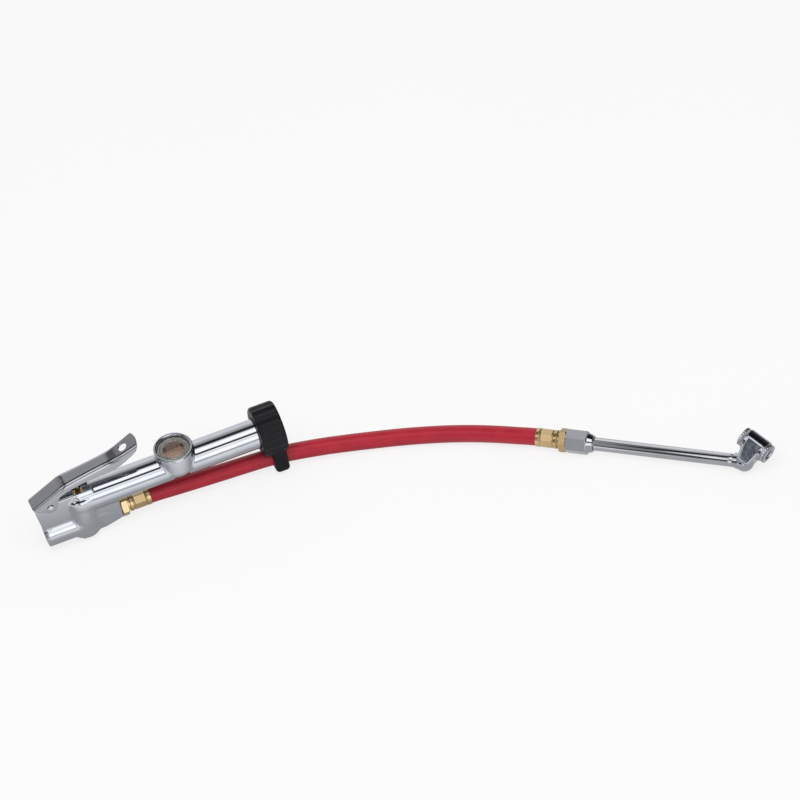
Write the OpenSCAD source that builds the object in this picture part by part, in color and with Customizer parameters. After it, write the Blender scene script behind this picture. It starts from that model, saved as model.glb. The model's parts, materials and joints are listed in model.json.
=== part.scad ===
// Hand-held tyre inflator with an in-line pressure gauge, a whip hose and a dual-head chuck.
// Millimetres. The origin is the centre of the air inlet's mouth, +X runs along the gauge
// tube towards the rubber boot, and +Z points up through the lever and the window.

/* [Gauge tube] */
// Outer diameter of the gauge tube
tube_d = 22.2; // [21:0.1:23.6]
// Bore of the gauge tube
tube_bore_d = 16.6; // [16:0.1:17.6]
// Height of the gauge tube's axis above the air passage
tube_rise = 22; // [21.5:0.1:24]
// Where the gauge tube ends
tube_end = 174; // [170:0.5:190]
// Where the gauge tube's bore starts
bore_start = 44; // [43.5:0.5:47]

/* [Window] */
// Distance of the window from the inlet mouth
window_x = 103.5; // [101:0.5:110]
// Outer diameter of the window boss
boss_d = 27.8; // [27:0.1:30]
// Height of the boss rim above the tube's axis
boss_rise = 14; // [13.6:0.1:18]
// Diameter of the lens flange
lens_d = 24; // [22:0.1:25]
// Diameter of the clear opening in the lens ring
window_d = 22; // [20:0.1:23]
// Diameter of the opening through the tube wall
aperture_d = 18; // [16:0.1:20]
// Thickness of the lens flange
lens_flange = 2.2; // [1.6:0.1:3]
// Height of the lens dome above its flange
lens_dome = 2.2; // [1.5:0.1:3]
// Height of the lens ring
lens_ring_h = 2.6; // [2.2:0.1:4]
// Thickness of the lens gasket
gasket_t = 0.8; // [0.6:0.1:1.2]

/* [Valve] */
// Distance of the valve axis from the inlet mouth
valve_x = 29.5; // [29:0.1:31]
// Outer diameter of the valve chamber
chamber_d = 22.6; // [21.6:0.1:23.4]
// Depth of the chamber's underside below the air passage
chamber_drop = 9.6; // [9:0.1:11]
// Bore of the lower chamber
chamber_bore_d = 13; // [12.4:0.1:14]
// Radius of the chamber's lower edge
chamber_edge_r = 2.4; // [2:0.1:3.6]
// Height of the valve seat above the air passage
seat_rise = 3.2; // [3:0.1:4]
// Bore of the throat above the seat
throat_d = 6.4; // [6:0.1:7]
// Diameter of the valve stem
stem_d = 4; // [3.4:0.1:4.4]
// Thickness of the valve washer
washer_t = 2.4; // [2:0.1:2.8]
// Diameter of the valve washer
washer_d = 10.8; // [10:0.1:11.2]
// Height of the slot's floor above the air passage
slot_floor = 27.5; // [27:0.1:29]
// Width of the slot between the cheeks
slot_w = 8.4; // [8:0.1:9]
// Outer diameter of the packing nut
guide_d = 7.8; // [7:0.1:7.9]
// Height of the plug's hexagon, which the body stands on
plug_hex_h = 2.6; // [2:0.1:4]
// Width across the flats of the plug's hexagon
plug_af = 13; // [12:0.1:14]

/* [Air ports] */
// Outer diameter of the inlet boss
inlet_d = 21; // [19:0.1:22]
// Diameter of the threaded inlet and outlet sockets
port_d = 12; // [11.4:0.1:12.6]
// Depth of the threaded inlet
inlet_depth = 12; // [11:0.5:14]
// Diameter of the drilled air passages
passage_d = 5.2; // [4:0.1:5.6]
// Where the outlet boss ends
outlet_x = 57; // [56:0.5:62]
// Outer diameter of the outlet boss at its mouth
outlet_mouth_d = 16; // [15.4:0.1:18]
// Outer diameter of the outlet boss at its root
outlet_root_d = 21.8; // [20:0.1:22]

/* [Web] */
// Thickness of the web that carries the lever
web_w = 12.4; // [12:0.1:12.8]
// How far the web's upper corner stands out past the inlet mouth
web_overhang = 5; // [3:0.1:5.2]
// Height of the cheeks above the air passage
cheek_rise = 32.4; // [32:0.1:33]
// Height of the web's lower edge above the air passage
web_foot = 8.6; // [6:0.1:9]

/* [Lever] */
// Distance of the lever's pivot from the inlet mouth
pivot_x = 6.5; // [6:0.1:7]
// Height of the lever's pivot above the air passage
pivot_z = 31; // [30.8:0.1:31.4]
// Diameter of the lever's pivot pin
pivot_d = 4; // [3:0.1:4.4]
// Outer width of the lever's channel at the pivot
lever_w = 16; // [15.9:0.1:17]
// Outer width of the lever's channel at its waist
lever_waist_w = 14.2; // [13:0.1:15.8]
// Outer width of the lever at its tip
lever_tip_w = 18; // [16:0.1:19]
// Thickness of the lever's sheet
lever_t = 1.4; // [1:0.1:1.5]
// Length of the lever's rear ramp
ramp_len = 28.4; // [27.6:0.1:30]
// Slope of the rear ramp
ramp_deg = 28.6; // [28:0.1:31]
// Length of the lever's main run
run_len = 42.6; // [38:0.1:46]
// Slope of the main run
run_deg = 10.3; // [9.6:0.1:11]
// Length of the turned-up tip
tip_len = 19.5; // [17:0.1:22]
// Slope of the turned-up tip
tip_deg = 24.5; // [22:0.1:27]
// Depth of the flanges along the main run
flange_d = 8.4; // [7:0.1:9]
// Radius of the ears round the pivot
ear_r = 5.4; // [4.6:0.1:5.6]
// Diameter of the hang hole
hang_d = 6.5; // [4.5:0.1:8]

/* [Gauge movement] */
// Diameter of the indicator drum
drum_d = 14.8; // [13.6:0.1:15.2]
// Length of the indicator drum
drum_len = 62; // [60:0.5:64]
// Travel of the gauge's piston
gauge_travel = 42; // [40:1:44]
// Thickness of the piston's disc
piston_t = 2; // [1.6:0.1:3]
// Thickness of the cup seal
cup_t = 3.4; // [3:0.1:4]
// Outer diameter of the gauge spring
gauge_spring_d = 9; // [8:0.1:9.6]
// Wire diameter of the gauge spring
gauge_wire_d = 1; // [0.8:0.1:1.1]
// Diameter of the spring's guide rod
rod_d = 3.6; // [3:0.1:4.4]
// Depth of the end plug's thread in the tube
plug_depth = 10; // [8:0.5:11]
// Thickness of the end plug's head
plug_head_t = 3.9; // [2:0.1:4]

/* [Boot] */
// Outer diameter of the boot
boot_d = 38; // [36:0.5:42]
// Length of the boot
boot_len = 18.4; // [16:0.1:20]
// Thickness of the boot's end wall
boot_wall = 4; // [2.4:0.1:5]
// Number of flutes round the boot
boot_flutes = 18; // [12:1:24]
// Depth of the boot's flutes
flute_depth = 0.8; // [0.4:0.1:1.2]
// Width of the hose loop
loop_w = 20.6; // [19:0.1:24]
// Thickness of the hose loop
loop_t = 10.5; // [8:0.1:11.5]
// Distance of the loop's hole from the gauge tube's axis
loop_drop = 25.5; // [25.3:0.1:25.7]
// Turn of the loop about the gauge tube
loop_turn = 9.8; // [9.4:0.1:10.2]

/* [Hose] */
// Outer diameter of the hose
hose_d = 12.5; // [12.2:0.1:12.6]
// Bore of the hose
hose_bore_d = 6.4; // [6:0.1:7]
// Clearance of the hose in the boot's loop
loop_gap = 0.35; // [0.3:0.05:0.6]

/* [Hose fittings] */
// Outer diameter of the crimped ferrule
ferrule_d = 13.4; // [13.3:0.1:14.4]
// Length of the crimped ferrule
ferrule_len = 16; // [15:0.5:18]
// Width across the ferrule's crimped flats
crimp_af = 12.9; // [12.8:0.1:13.2]
// Width across the flats of the brass hexagons
fitting_af = 15.2; // [14:0.1:16]
// Length of the brass hexagons
fitting_hex_len = 5; // [4:0.1:5.4]
// Length of the groove between hexagon and ferrule
neck_len = 1.5; // [1.2:0.1:2]
// Length of the insert's thread
thread_len = 10; // [8:0.5:10.5]

/* [Chuck] */
// Width across the flats of the coupling
coupling_af = 15.6; // [14.6:0.1:16.2]
// Length of the coupling's hexagon
coupling_len = 15.5; // [14:0.5:18]
// Length of the coupling's cone
cone_len = 4.5; // [3:0.1:6]
// Outer diameter of the chuck's stem
chuck_stem_d = 9.5; // [8.6:0.1:10]
// Length from the hose's end to the centre of the head's dome
chuck_reach = 154; // [140:0.5:160]
// Yaw of the chuck in the object's frame
chuck_yaw = -36.2; // [-37:0.1:-34]
// Roll of the chuck's head about the stem
head_roll = 40.6; // [38:0.1:43]
// Slope between the head's barrel and the stem
head_deg = 28.8; // [26:0.1:31]
// Distance of the barrel's axis from the dome's centre
head_rise = 14.3; // [14:0.1:16]
// Diameter of the head's barrel
barrel_d = 15.8; // [15:0.1:17]
// Length of the head's barrel
barrel_len = 16.8; // [16:0.1:20]
// Diameter of the retaining rings
ring_d = 14.4; // [14:0.1:15.6]
// Length of each retaining ring
ring_len = 3.5; // [3:0.1:4]
// Diameter of the socket for the tyre valve
socket_d = 8.6; // [8.2:0.1:9]
// Diameter of the dome where the stem enters the head
dome_d = 14; // [13:0.1:14.6]
// Half thickness of the head's web
head_half = 7; // [6.4:0.1:7.4]
// Diameter of the depressor pins
pin_d = 3.2; // [2.6:0.1:3.6]
// Travel of the depressor pins
pin_travel = 1.8; // [1.2:0.1:2]

/* [Hidden] */
$fn = 64;
cut = 0.5;         // how far a cutting shape runs past the face that it cuts
fit = 0.05;        // radial clearance of a threaded or pressed piece
slip = 0.3;        // clearance between neighbours that don't touch
running = 0.05;    // radial clearance of a pin or stem in its hole

tube_r = tube_d / 2;
bore_r = tube_bore_d / 2;
chamber_r = chamber_d / 2;
port_r = port_d / 2;
stem_r = stem_d / 2;
hose_r = hose_d / 2;
floor_z = -(chamber_drop + gasket_t + plug_hex_h);
screen_t = 0.8;
screen_r = port_r - 0.8;

// Window stack, from the tube's axis up
rim_z = tube_rise + boss_rise;
lens_z = rim_z - lens_flange;
gasket_z = lens_z - gasket_t;
lens_foot_z = tube_rise + bore_r + slip;

// Valve stack, from the seat down and up
seat_gap = 0.1;
washer_top = seat_rise - seat_gap;
collar_t = 1.2;
collar_z = washer_top - washer_t - collar_t;
collar_d = 9.2;
tail_len = 5;
spot_margin = 0.9;
plug_inner_z = -7;
plug_pocket_z = -11;
valve_wire_d = 0.7;
valve_spring_d = 8;
guide_z = 20.5;
guide_head_h = 2;
guide_head_d = 7.6;
o_ring_r = 0.55;
gauge_port_z = 17;
gauge_port_d = 3;
outlet_socket_x = outlet_x - thread_len - 1;
outlet_rise = 12;
outlet_hole_d = 4.4;
outlet_cone_x = 43;
bridge_w = 15.2;
bridge_inset = 1;

// Underside of the window boss: share of its radius, height from the tube's axis
boss_profile = [[0, -8], [0.55, -7.2], [0.83, -4.2], [0.96, -1], [1, 2.4]];

// Lever profile: the corners of its outer face, from the tail to the tip
tail_reach = [-13, 1.6];
tail_p = [pivot_x, pivot_z] + tail_reach;
kink_p = tail_p + ramp_len * [cos(ramp_deg), sin(ramp_deg)];
rise_p = kink_p + run_len * [cos(run_deg), sin(run_deg)];
tip_p = rise_p + tip_len * [cos(tip_deg), sin(tip_deg)];
hang_s = tip_len - 11.5;
tip_round_r = 14;

// Lever seen from above: half its width at distances from the inlet mouth
lever_plan = [[tail_p[0] - 2, lever_w / 2], [kink_p[0] + 1.6, lever_w / 2],
  [rise_p[0] - 10, lever_waist_w / 2], [tip_p[0] + 2, lever_tip_w / 2]];

// Where the underside of the lever's run crosses the valve's axis, and the stem's top below it
contact_z = kink_p[1] + (valve_x - kink_p[0]) * tan(run_deg) - lever_t / cos(run_deg);
stem_top = contact_z - slip;

// Gauge movement, from the closed end of the bore to the right
piston_x = bore_start + 1;
cup_x = piston_x + piston_t;
drum_x = cup_x + cup_t + fit;
drum_floor = 4;
drum_wall = 1.6;
spring_seat_x = drum_x + drum_floor;
plug_x = tube_end - plug_depth;
rod_start = spring_seat_x + gauge_travel + 2;
head_x = tube_end + gasket_t;
plug_inset = 0.6;

// Boot
boot_cavity_end = head_x + plug_head_t + 0.2;
boot_end = boot_cavity_end + boot_wall;
boot_x = boot_end - boot_len;
loop_x = boot_end - 6.8;
loop_corner_r = 3.5;
loop_bottom = (tube_rise - floor_z - loop_corner_r
  - (loop_w / 2 - loop_corner_r) * sin(loop_turn)) / cos(loop_turn) + loop_corner_r;
hose_yaw_at_loop = -8;

// Hose: the ends follow the fittings, the points between were chosen by hand
ferrule_wall = 1.2;
hose_sides = 12;
hose_start = [outlet_x + fitting_hex_len + neck_len + ferrule_len, 0, 0];
chuck_z = floor_z + coupling_af / 2 / cos(30);
chuck_p = [349, -73.5, chuck_z];
chuck_dir = [cos(chuck_yaw), sin(chuck_yaw), 0];
hose_route = [
  [100, -0.4, -1.1],
  [118, -0.9, -2],
  [136, -1.4, -2.8],
  [155, -2.2, -3.2],
  [169, -3.4, -3.1],
  [183, -5.3, -3.2],
  [208, -10.2, -4.4],
  [226, -14.8, -5.3],
  [243, -19.7, -6],
  [260, -25.2, -6.4],
  [277, -31.6, -6.6],
  [294, -39.1, -6.5],
  [310, -47.6, -6],
  [324, -56.3, -5.3],
  [336, -64.5, -4.6]
];

// Chuck head
ring_r = ring_d / 2;
barrel_half = barrel_len / 2;
socket_bore_r = 5.6;
septum = 1.5;
seal_t = 2.5;
pin_collar_t = 1;
pin_collar_d = 6.4;
pin_wire_d = 0.5;
pin_spring_d = 6;
dome_r = dome_d / 2;
air_hole_r = 1.4;
chuck_stem_wall = 2;
head_passage_r = 2.15;
coupling_x = ferrule_len + neck_len + fitting_hex_len;
coupling_end = coupling_x + coupling_len;
cone_end = coupling_end + cone_len;
stem_start = coupling_end - 3;

// ---- Helpers ----

// Cylinder along +X from x0 to x1
module rod_x(x0, x1, r, r_end = -1) {
  translate([x0, 0, 0])
    rotate([0, 90, 0])
      cylinder(h = x1 - x0, r1 = r, r2 = r_end < 0 ? r : r_end);
}

// Cylinder along +Z from z0 to z1
module rod_z(z0, z1, r) {
  translate([0, 0, z0])
    cylinder(h = z1 - z0, r = r);
}

// Hexagonal bar along +X with a flat at the top or a corner at the bottom
module hex_x(x0, x1, across_flats, turn = 0) {
  translate([x0, 0, 0])
    rotate([turn, 0, 0])
      rotate([0, 90, 0])
        cylinder(h = x1 - x0, r = across_flats / 2 / cos(30), $fn = 6);
}

// Flat ring along +Z
module ring_z(z0, z1, r_out, r_in) {
  translate([0, 0, z0])
    rotate_extrude()
      translate([r_in, 0])
        square([r_out - r_in, z1 - z0]);
}

// A plate whose outline lies in XZ, centred on Y
module plate_xz(width) {
  translate([0, width / 2, 0])
    rotate([90, 0, 0])
      linear_extrude(height = width)
        children();
}

// Places its children with +X running from the chuck end of the hose along the chuck
module at_chuck() {
  translate(chuck_p)
    rotate([0, 0, chuck_yaw])
      children();
}

// Places its children with +X running out of the body end of the hose into the body
module at_outlet() {
  translate(hose_start)
    rotate([0, 0, 180])
      children();
}

// Places its children in the head's frame: +X along the barrel, +Y from the dome to the barrel
module at_head() {
  at_chuck()
    translate([chuck_reach, 0, 0])
      rotate([head_roll, 0, 0])
        rotate([0, 0, -head_deg])
          children();
}

// Places its children on the barrel's axis with +X pointing out of the front or the rear socket
module at_socket(front) {
  at_head()
    translate([0, head_rise, 0])
      rotate([0, 0, front ? 0 : 180])
        children();
}

// Ring of points of a tube: centre p, axis direction t, with the ring's first side sideways
function unit(v) = v / norm(v);
function ring_points(p, t, r, sides) =
  let (side = unit(cross([0, 0, 1], t)), up = cross(t, side))
  [for (k = [0 : sides - 1]) p + r * (cos(360 * k / sides) * side + sin(360 * k / sides) * up)];
function tangent(points, i) = unit(
  points[min(i + 1, len(points) - 1)] - points[max(i - 1, 0)]);

// Tube through the given points, with flat ends square to the given directions
module sweep(points, first_dir, last_dir, r, sides) {
  n = len(points);
  rings = [for (i = [0 : n - 1])
    ring_points(points[i], i == 0 ? first_dir : i == n - 1 ? last_dir : tangent(points, i), r, sides)];
  vertices = [for (ring = rings) each ring];
  walls = [for (i = [0 : n - 2], k = [0 : sides - 1])
    let (a = i * sides + k, b = i * sides + (k + 1) % sides) each [
      [a, b + sides, b],
      [a, a + sides, b + sides]
    ]];
  start = [for (k = [1 : sides - 2]) [0, k, k + 1]];
  last = (n - 1) * sides;
  end = [for (k = [1 : sides - 2]) [last, last + k + 1, last + k]];
  polyhedron(points = vertices, faces = concat(walls, start, end), convexity = 6);
}

// Round wire spring along +X from x0 to x1, with its ends inside that length
module coil_x(x0, x1, outer_d, wire_d, curls) {
  wire_sides = 6;
  steps = 8;
  coil_r = (outer_d - wire_d) / 2;
  lead = x1 - x0 - wire_d;
  n = curls * steps;
  pitch_slope = atan(lead / curls / (2 * PI * coil_r));
  vertices = [for (i = [0 : n], k = [0 : wire_sides - 1])
    let (a = 360 * i / steps, w = 360 * k / wire_sides,
      radial = coil_r + wire_d / 2 * cos(w),
      lift = wire_d / 2 * sin(w))
    [x0 + wire_d / 2 + lead * i / n + lift * cos(pitch_slope),
      radial * cos(a) + lift * sin(pitch_slope) * sin(a),
      radial * sin(a) - lift * sin(pitch_slope) * cos(a)]];
  walls = [for (i = [0 : n - 1], k = [0 : wire_sides - 1])
    let (a = i * wire_sides + k, b = i * wire_sides + (k + 1) % wire_sides) each [
      [a, b, b + wire_sides],
      [a, b + wire_sides, a + wire_sides]
    ]];
  start = [for (k = [1 : wire_sides - 2]) [0, k + 1, k]];
  last = n * wire_sides;
  end = [for (k = [1 : wire_sides - 2]) [last, last + k, last + k + 1]];
  polyhedron(points = vertices, faces = concat(walls, start, end), convexity = 10);
}

// ---- Body ----

// Outline of the web in XZ: it leans back over the inlet and carries the pivot
module web_outline() {
  foot_x = -1.8;        // lower corner over the inlet
  bevel = [3.4, 4.5];   // size of the bevelled corner at the back
  mid = [0.7, 2.2];     // where the bevel's two faces meet
  inner_x = valve_x + chamber_r - 2;
  inner_z = -2;
  polygon([
    [foot_x, web_foot],
    [-web_overhang, cheek_rise - bevel[1]],
    [-web_overhang + mid[0], cheek_rise - mid[1]],
    [-web_overhang + bevel[0], cheek_rise],
    [inner_x, cheek_rise],
    [inner_x, inner_z],
    [inlet_depth, inner_z],
    [inlet_depth, web_foot + foot_x]
  ]);
}

// Everything that the casting is made of, before it is drilled
module casting_mass() {
  // gauge tube with its round left end
  translate([0, 0, tube_rise]) {
    rod_x(valve_x, tube_end, tube_r);
    translate([valve_x, 0, 0])
      sphere(r = tube_r);
  }
  // valve chamber
  translate([valve_x, 0, 0])
    rotate_extrude() {
      translate([0, -chamber_drop + chamber_edge_r])
        square([chamber_r, slot_floor + chamber_drop - chamber_edge_r]);
      translate([0, -chamber_drop])
        square([chamber_r - chamber_edge_r, slot_floor + chamber_drop]);
      intersection() {
        translate([chamber_r - chamber_edge_r, -chamber_drop + chamber_edge_r])
          circle(r = chamber_edge_r);
        translate([0, -chamber_drop])
          square([chamber_r, slot_floor]);
      }
    }
  // inlet boss
  rod_x(0, valve_x, inlet_d / 2);
  // outlet boss with its cone
  rod_x(valve_x, outlet_cone_x, outlet_root_d / 2);
  rod_x(outlet_cone_x, outlet_x, outlet_root_d / 2, outlet_mouth_d / 2);
  // window boss, rounded off underneath inside the tube's height
  translate([window_x, 0, tube_rise])
    rotate_extrude()
      polygon(concat([[0, boss_rise]], [for (p = boss_profile) [p[0] * boss_d / 2, p[1]]],
        [[boss_d / 2, boss_rise]]));
  // flat-sided bridge between the tube and the outlet boss
  plate_xz(bridge_w)
    translate([valve_x, 0])
      square([outlet_x - bridge_inset - valve_x, tube_rise - bore_r - fit]);
  // web with the lever's pivot
  plate_xz(web_w)
    web_outline();
}

// Slot between the cheeks, open at the top, for the stem and the lever
module lever_slot() {
  behind_pivot = 6;
  slot_x = pivot_x + behind_pivot;
  translate([slot_x, -slot_w / 2, slot_floor])
    cube([valve_x + guide_d - slot_x, slot_w, tube_rise]);
}

// Air passages, threads and bores
module casting_bores() {
  rod_x(-cut, inlet_depth, port_r);
  rod_x(inlet_depth - cut, inlet_depth + screen_t, screen_r + fit);
  rod_x(inlet_depth, valve_x - chamber_bore_d / 2 + 1, passage_d / 2);
  translate([valve_x, 0, 0]) {
    rod_z(-chamber_drop - cut, seat_rise, chamber_bore_d / 2);
    rod_z(floor_z, -chamber_drop, plug_af / 2 / cos(30) + spot_margin);
    rod_z(0, guide_z, throat_d / 2);
    rod_z(guide_z, slot_floor + cut, guide_d / 2 + fit);
  }
  // outlet: threaded socket, and a drilled hole that slopes up to the throat
  rod_x(outlet_socket_x, outlet_x + cut, port_r);
  translate([outlet_socket_x + 1, 0, 0])
    rotate([0, 90 + atan(outlet_rise / (outlet_socket_x + 1 - valve_x)) - 180, 0])
      cylinder(h = norm([outlet_rise, outlet_socket_x + 1 - valve_x]), r = outlet_hole_d / 2);
  // gauge: small port from the throat, then the bore
  translate([0, 0, gauge_port_z])
    rod_x(valve_x, bore_start + 1, gauge_port_d / 2);
  translate([0, 0, tube_rise])
    rod_x(bore_start, tube_end + cut, bore_r);
  translate([window_x, 0, 0]) {
    rod_z(tube_rise, rim_z, aperture_d / 2);
    rod_z(gasket_z, rim_z + cut, lens_d / 2 + fit);
  }
  // pivot hole
  translate([pivot_x, 0, pivot_z])
    rotate([90, 0, 0])
      cylinder(h = web_w + 2 * cut, r = pivot_d / 2 + fit, center = true);
}

module body_casting() {
  color("silver")
    difference() {
      casting_mass();
      lever_slot();
      casting_bores();
    }
}

module inlet_screen() {
  hole_d = 1.2;
  hole_pitch = 2;
  color("goldenrod")
    difference() {
      rod_x(inlet_depth, inlet_depth + screen_t, screen_r);
      for (i = [-2 : 2], j = [-2 : 2])
        if (norm([i, j]) < 2.1)
          translate([0, i * hole_pitch, j * hole_pitch])
            rod_x(inlet_depth - cut, inlet_depth + screen_t + cut, hole_d / 2);
    }
}

// ---- Valve ----

module valve_guide() {
  driver_slot = 1;
  color("goldenrod")
    translate([valve_x, 0, 0])
      difference() {
        union() {
          rod_z(guide_z, slot_floor, guide_d / 2);
          rod_z(slot_floor, slot_floor + guide_head_h, guide_head_d / 2);
        }
        rod_z(guide_z - cut, slot_floor + guide_head_h + cut, stem_r + running);
        translate([-guide_d, -driver_slot / 2, slot_floor + guide_head_h / 2])
          cube([2 * guide_d, driver_slot, guide_head_h]);
      }
}

module stem_seal() {
  color("black")
    translate([valve_x, 0, guide_z - o_ring_r - fit])
      rotate_extrude()
        translate([throat_d / 2 - o_ring_r, 0])
          circle(r = o_ring_r, $fn = 24);
}

module valve_stem() {
  color("gold")
    translate([valve_x, 0, 0]) {
      rod_z(collar_z - tail_len, stem_top - stem_r, stem_r);
      rod_z(collar_z, collar_z + collar_t, collar_d / 2);
      translate([0, 0, stem_top - stem_r])
        sphere(r = stem_r);
    }
}

module valve_washer() {
  color("dimgray")
    translate([valve_x, 0, 0])
      ring_z(collar_z + collar_t, washer_top, washer_d / 2, stem_r + fit);
}

module valve_spring() {
  color("lightgray")
    translate([valve_x, 0, 0])
      rotate([0, 90, 0])
        coil_x(-collar_z + fit, -plug_inner_z - fit, valve_spring_d, valve_wire_d, 3);
}

module valve_plug() {
  color("silver")
    translate([valve_x, 0, 0])
      difference() {
        union() {
          rod_z(-chamber_drop - gasket_t, plug_inner_z, chamber_bore_d / 2 - fit);
          translate([0, 0, floor_z])
            cylinder(h = plug_hex_h, r = plug_af / 2 / cos(30), $fn = 6);
        }
        rod_z(plug_pocket_z, plug_inner_z + cut, stem_r + slip);
      }
}

module plug_gasket() {
  color("black")
    translate([valve_x, 0, 0])
      ring_z(-chamber_drop - gasket_t, -chamber_drop, chamber_bore_d / 2 + spot_margin, chamber_bore_d / 2);
}

// ---- Lever ----

// Corner of the sheet's inner face below an outer corner where two slopes meet
function inner_corner(p, slope_a, slope_b) =
  let (mean = (slope_a + slope_b) / 2)
  p + lever_t / cos((slope_a - slope_b) / 2) * [sin(mean), -cos(mean)];

module lever_sheet_outline() {
  polygon([
    tail_p,
    kink_p,
    rise_p,
    tip_p,
    inner_corner(tip_p, tip_deg, tip_deg),
    inner_corner(rise_p, run_deg, tip_deg),
    inner_corner(kink_p, ramp_deg, run_deg),
    inner_corner(tail_p, ramp_deg, ramp_deg)
  ]);
}

// Side flange: it starts as an ear round the pivot, deepens along the run and narrows to the tip
module flange_outline() {
  pivot = [pivot_x, pivot_z];
  inside = 0.9;                   // keeps the outline's corners within the ear
  low_tip = [14.6, 11.2];         // the lower corners, measured from the bend before the tip
  low_front = [1.6, 1.5];
  low_back = [-6.4, -1.2];
  low_start = [14.8, 5.2];        // and from the kink
  low_notch = [6.6, 3.6];
  notch = [8.2, 7.3];
  polygon([
    inner_corner(tail_p, ramp_deg, ramp_deg),
    tail_p,
    kink_p,
    rise_p,
    tip_p,
    rise_p + low_tip - [0, flange_d],
    rise_p + low_front - [0, flange_d],
    rise_p + low_back - [0, flange_d],
    kink_p + low_start - [0, flange_d],
    kink_p + low_notch - [0, flange_d],
    pivot + notch,
    pivot + inside * ear_r * [cos(-30), sin(-30)],
    pivot + inside * ear_r * [cos(-150), sin(-150)]
  ]);
  translate(pivot)
    circle(r = ear_r);
}

// Upright prism over the lever's plan, drawn in by an inset on both sides
module lever_prism(inset) {
  linear_extrude(height = 2 * tip_p[1])
    polygon(concat(
      [for (p = lever_plan) [p[0], inset - p[1]]],
      [for (i = [len(lever_plan) - 1 : -1 : 0]) [lever_plan[i][0], lever_plan[i][1] - inset]]));
}

module lever() {
  color("darkgray")
    difference() {
      union() {
        intersection() {
          plate_xz(2 * lever_w)
            lever_sheet_outline();
          lever_prism(0);
        }
        difference() {
          intersection() {
            plate_xz(2 * lever_w)
              flange_outline();
            lever_prism(0);
          }
          lever_prism(lever_t);
        }
      }
      // round end of the tip, and the hang hole
      translate([rise_p[0], 0, rise_p[1]])
        rotate([0, -tip_deg, 0]) {
          difference() {
            translate([hang_s, -lever_w, -lever_w])
              cube([lever_w, 2 * lever_w, 2 * lever_w]);
            translate([tip_len - tip_round_r, 0, -lever_w - cut])
              cylinder(h = 2 * lever_w + 2 * cut, r = tip_round_r);
          }
          translate([hang_s, 0, -lever_t - cut])
            cylinder(h = lever_t + 2 * cut, r = hang_d / 2);
        }
      translate([pivot_x, 0, pivot_z])
        rotate([90, 0, 0])
          cylinder(h = lever_w + 2 * cut, r = pivot_d / 2 + running, center = true);
    }
}

module lever_pin() {
  head_t = 0.9;
  head_margin = 0.7;
  end_play = 0.2;
  color("gray")
    translate([pivot_x, 0, pivot_z])
      rotate([90, 0, 0]) {
        cylinder(h = lever_w + 2 * end_play, r = pivot_d / 2, center = true);
        for (side = [-1, 1])
          translate([0, 0, side * (lever_w / 2 + end_play + head_t / 2)])
            cylinder(h = head_t, r = pivot_d / 2 + head_margin, center = true);
      }
}

// ---- Window ----

// Domed lens whose foot fills the opening down to the bore, so the drum shows large
module lens() {
  color("lightcyan", 0.4)
    translate([window_x, 0, 0])
      rotate_extrude()
        intersection() {
          union() {
            translate([0, lens_foot_z])
              square([lens_d / 2, rim_z - lens_foot_z]);
            translate([0, rim_z + lens_dome - window_d])
              circle(r = window_d);
          }
          polygon([
            [0, lens_foot_z], [aperture_d / 2 - fit, lens_foot_z], [aperture_d / 2 - fit, lens_z],
            [lens_d / 2, lens_z], [lens_d / 2, rim_z],
            [window_d / 2 - slip, rim_z], [window_d / 2 - slip, rim_z + lens_dome],
            [0, rim_z + lens_dome]
          ]);
        }
}

module lens_ring() {
  lip = 0.5;
  overhang = 0.4;
  ring_edge = boss_d / 2 + overhang;
  color("gainsboro")
    translate([window_x, 0, 0])
      rotate_extrude()
        polygon([
          [window_d / 2, rim_z], [ring_edge, rim_z],
          [ring_edge, rim_z + lens_ring_h - lip],
          [ring_edge - lip, rim_z + lens_ring_h],
          [window_d / 2 + 2 * lip, rim_z + lens_ring_h],
          [window_d / 2, rim_z + lens_ring_h - 2 * lip]
        ]);
}

module lens_gasket() {
  color("black")
    translate([window_x, 0, 0])
      ring_z(gasket_z, lens_z, lens_d / 2, aperture_d / 2);
}

// ---- Gauge movement ----

module gauge_piston() {
  color("goldenrod")
    translate([0, 0, tube_rise]) {
      rod_x(piston_x, cup_x, bore_r - slip);
      rod_x(cup_x, spring_seat_x, rod_d / 2);
    }
}

module piston_cup() {
  lip = 1.4;
  color("black")
    translate([0, 0, tube_rise])
      difference() {
        rod_x(cup_x, cup_x + cup_t, bore_r - running);
        rod_x(cup_x - cut, cup_x + cup_t + cut, rod_d / 2 + fit);
        rod_x(cup_x + lip, cup_x + cup_t + cut, bore_r - lip);
      }
}

// Hollow drum with its graduations cut as shallow rings, fine ones and deeper fifth ones
module indicator_drum() {
  first_mark = window_x - gauge_travel;
  mark_pitch = 3;
  mark_w = 0.4;
  color("peru")
    translate([0, 0, tube_rise])
      difference() {
        rod_x(drum_x, drum_x + drum_len, drum_d / 2);
        rod_x(drum_x - cut, drum_x + drum_len, rod_d / 2 + fit);
        rod_x(spring_seat_x, drum_x + drum_len + cut, drum_d / 2 - drum_wall);
        for (i = [0 : floor(gauge_travel / mark_pitch)])
          let (depth = i % 5 == 0 ? 0.4 : 0.2, x = first_mark + i * mark_pitch)
            difference() {
              rod_x(x, x + mark_w, drum_d / 2 + cut);
              rod_x(x - cut, x + mark_w + cut, drum_d / 2 - depth);
            }
      }
}

module gauge_spring() {
  color("lightgray")
    translate([0, 0, tube_rise])
      coil_x(spring_seat_x + fit, plug_x - fit, gauge_spring_d, gauge_wire_d, 22);
}

module guide_rod() {
  color("silver")
    translate([0, 0, tube_rise])
      rod_x(rod_start, plug_x + plug_depth / 2, rod_d / 2);
}

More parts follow.
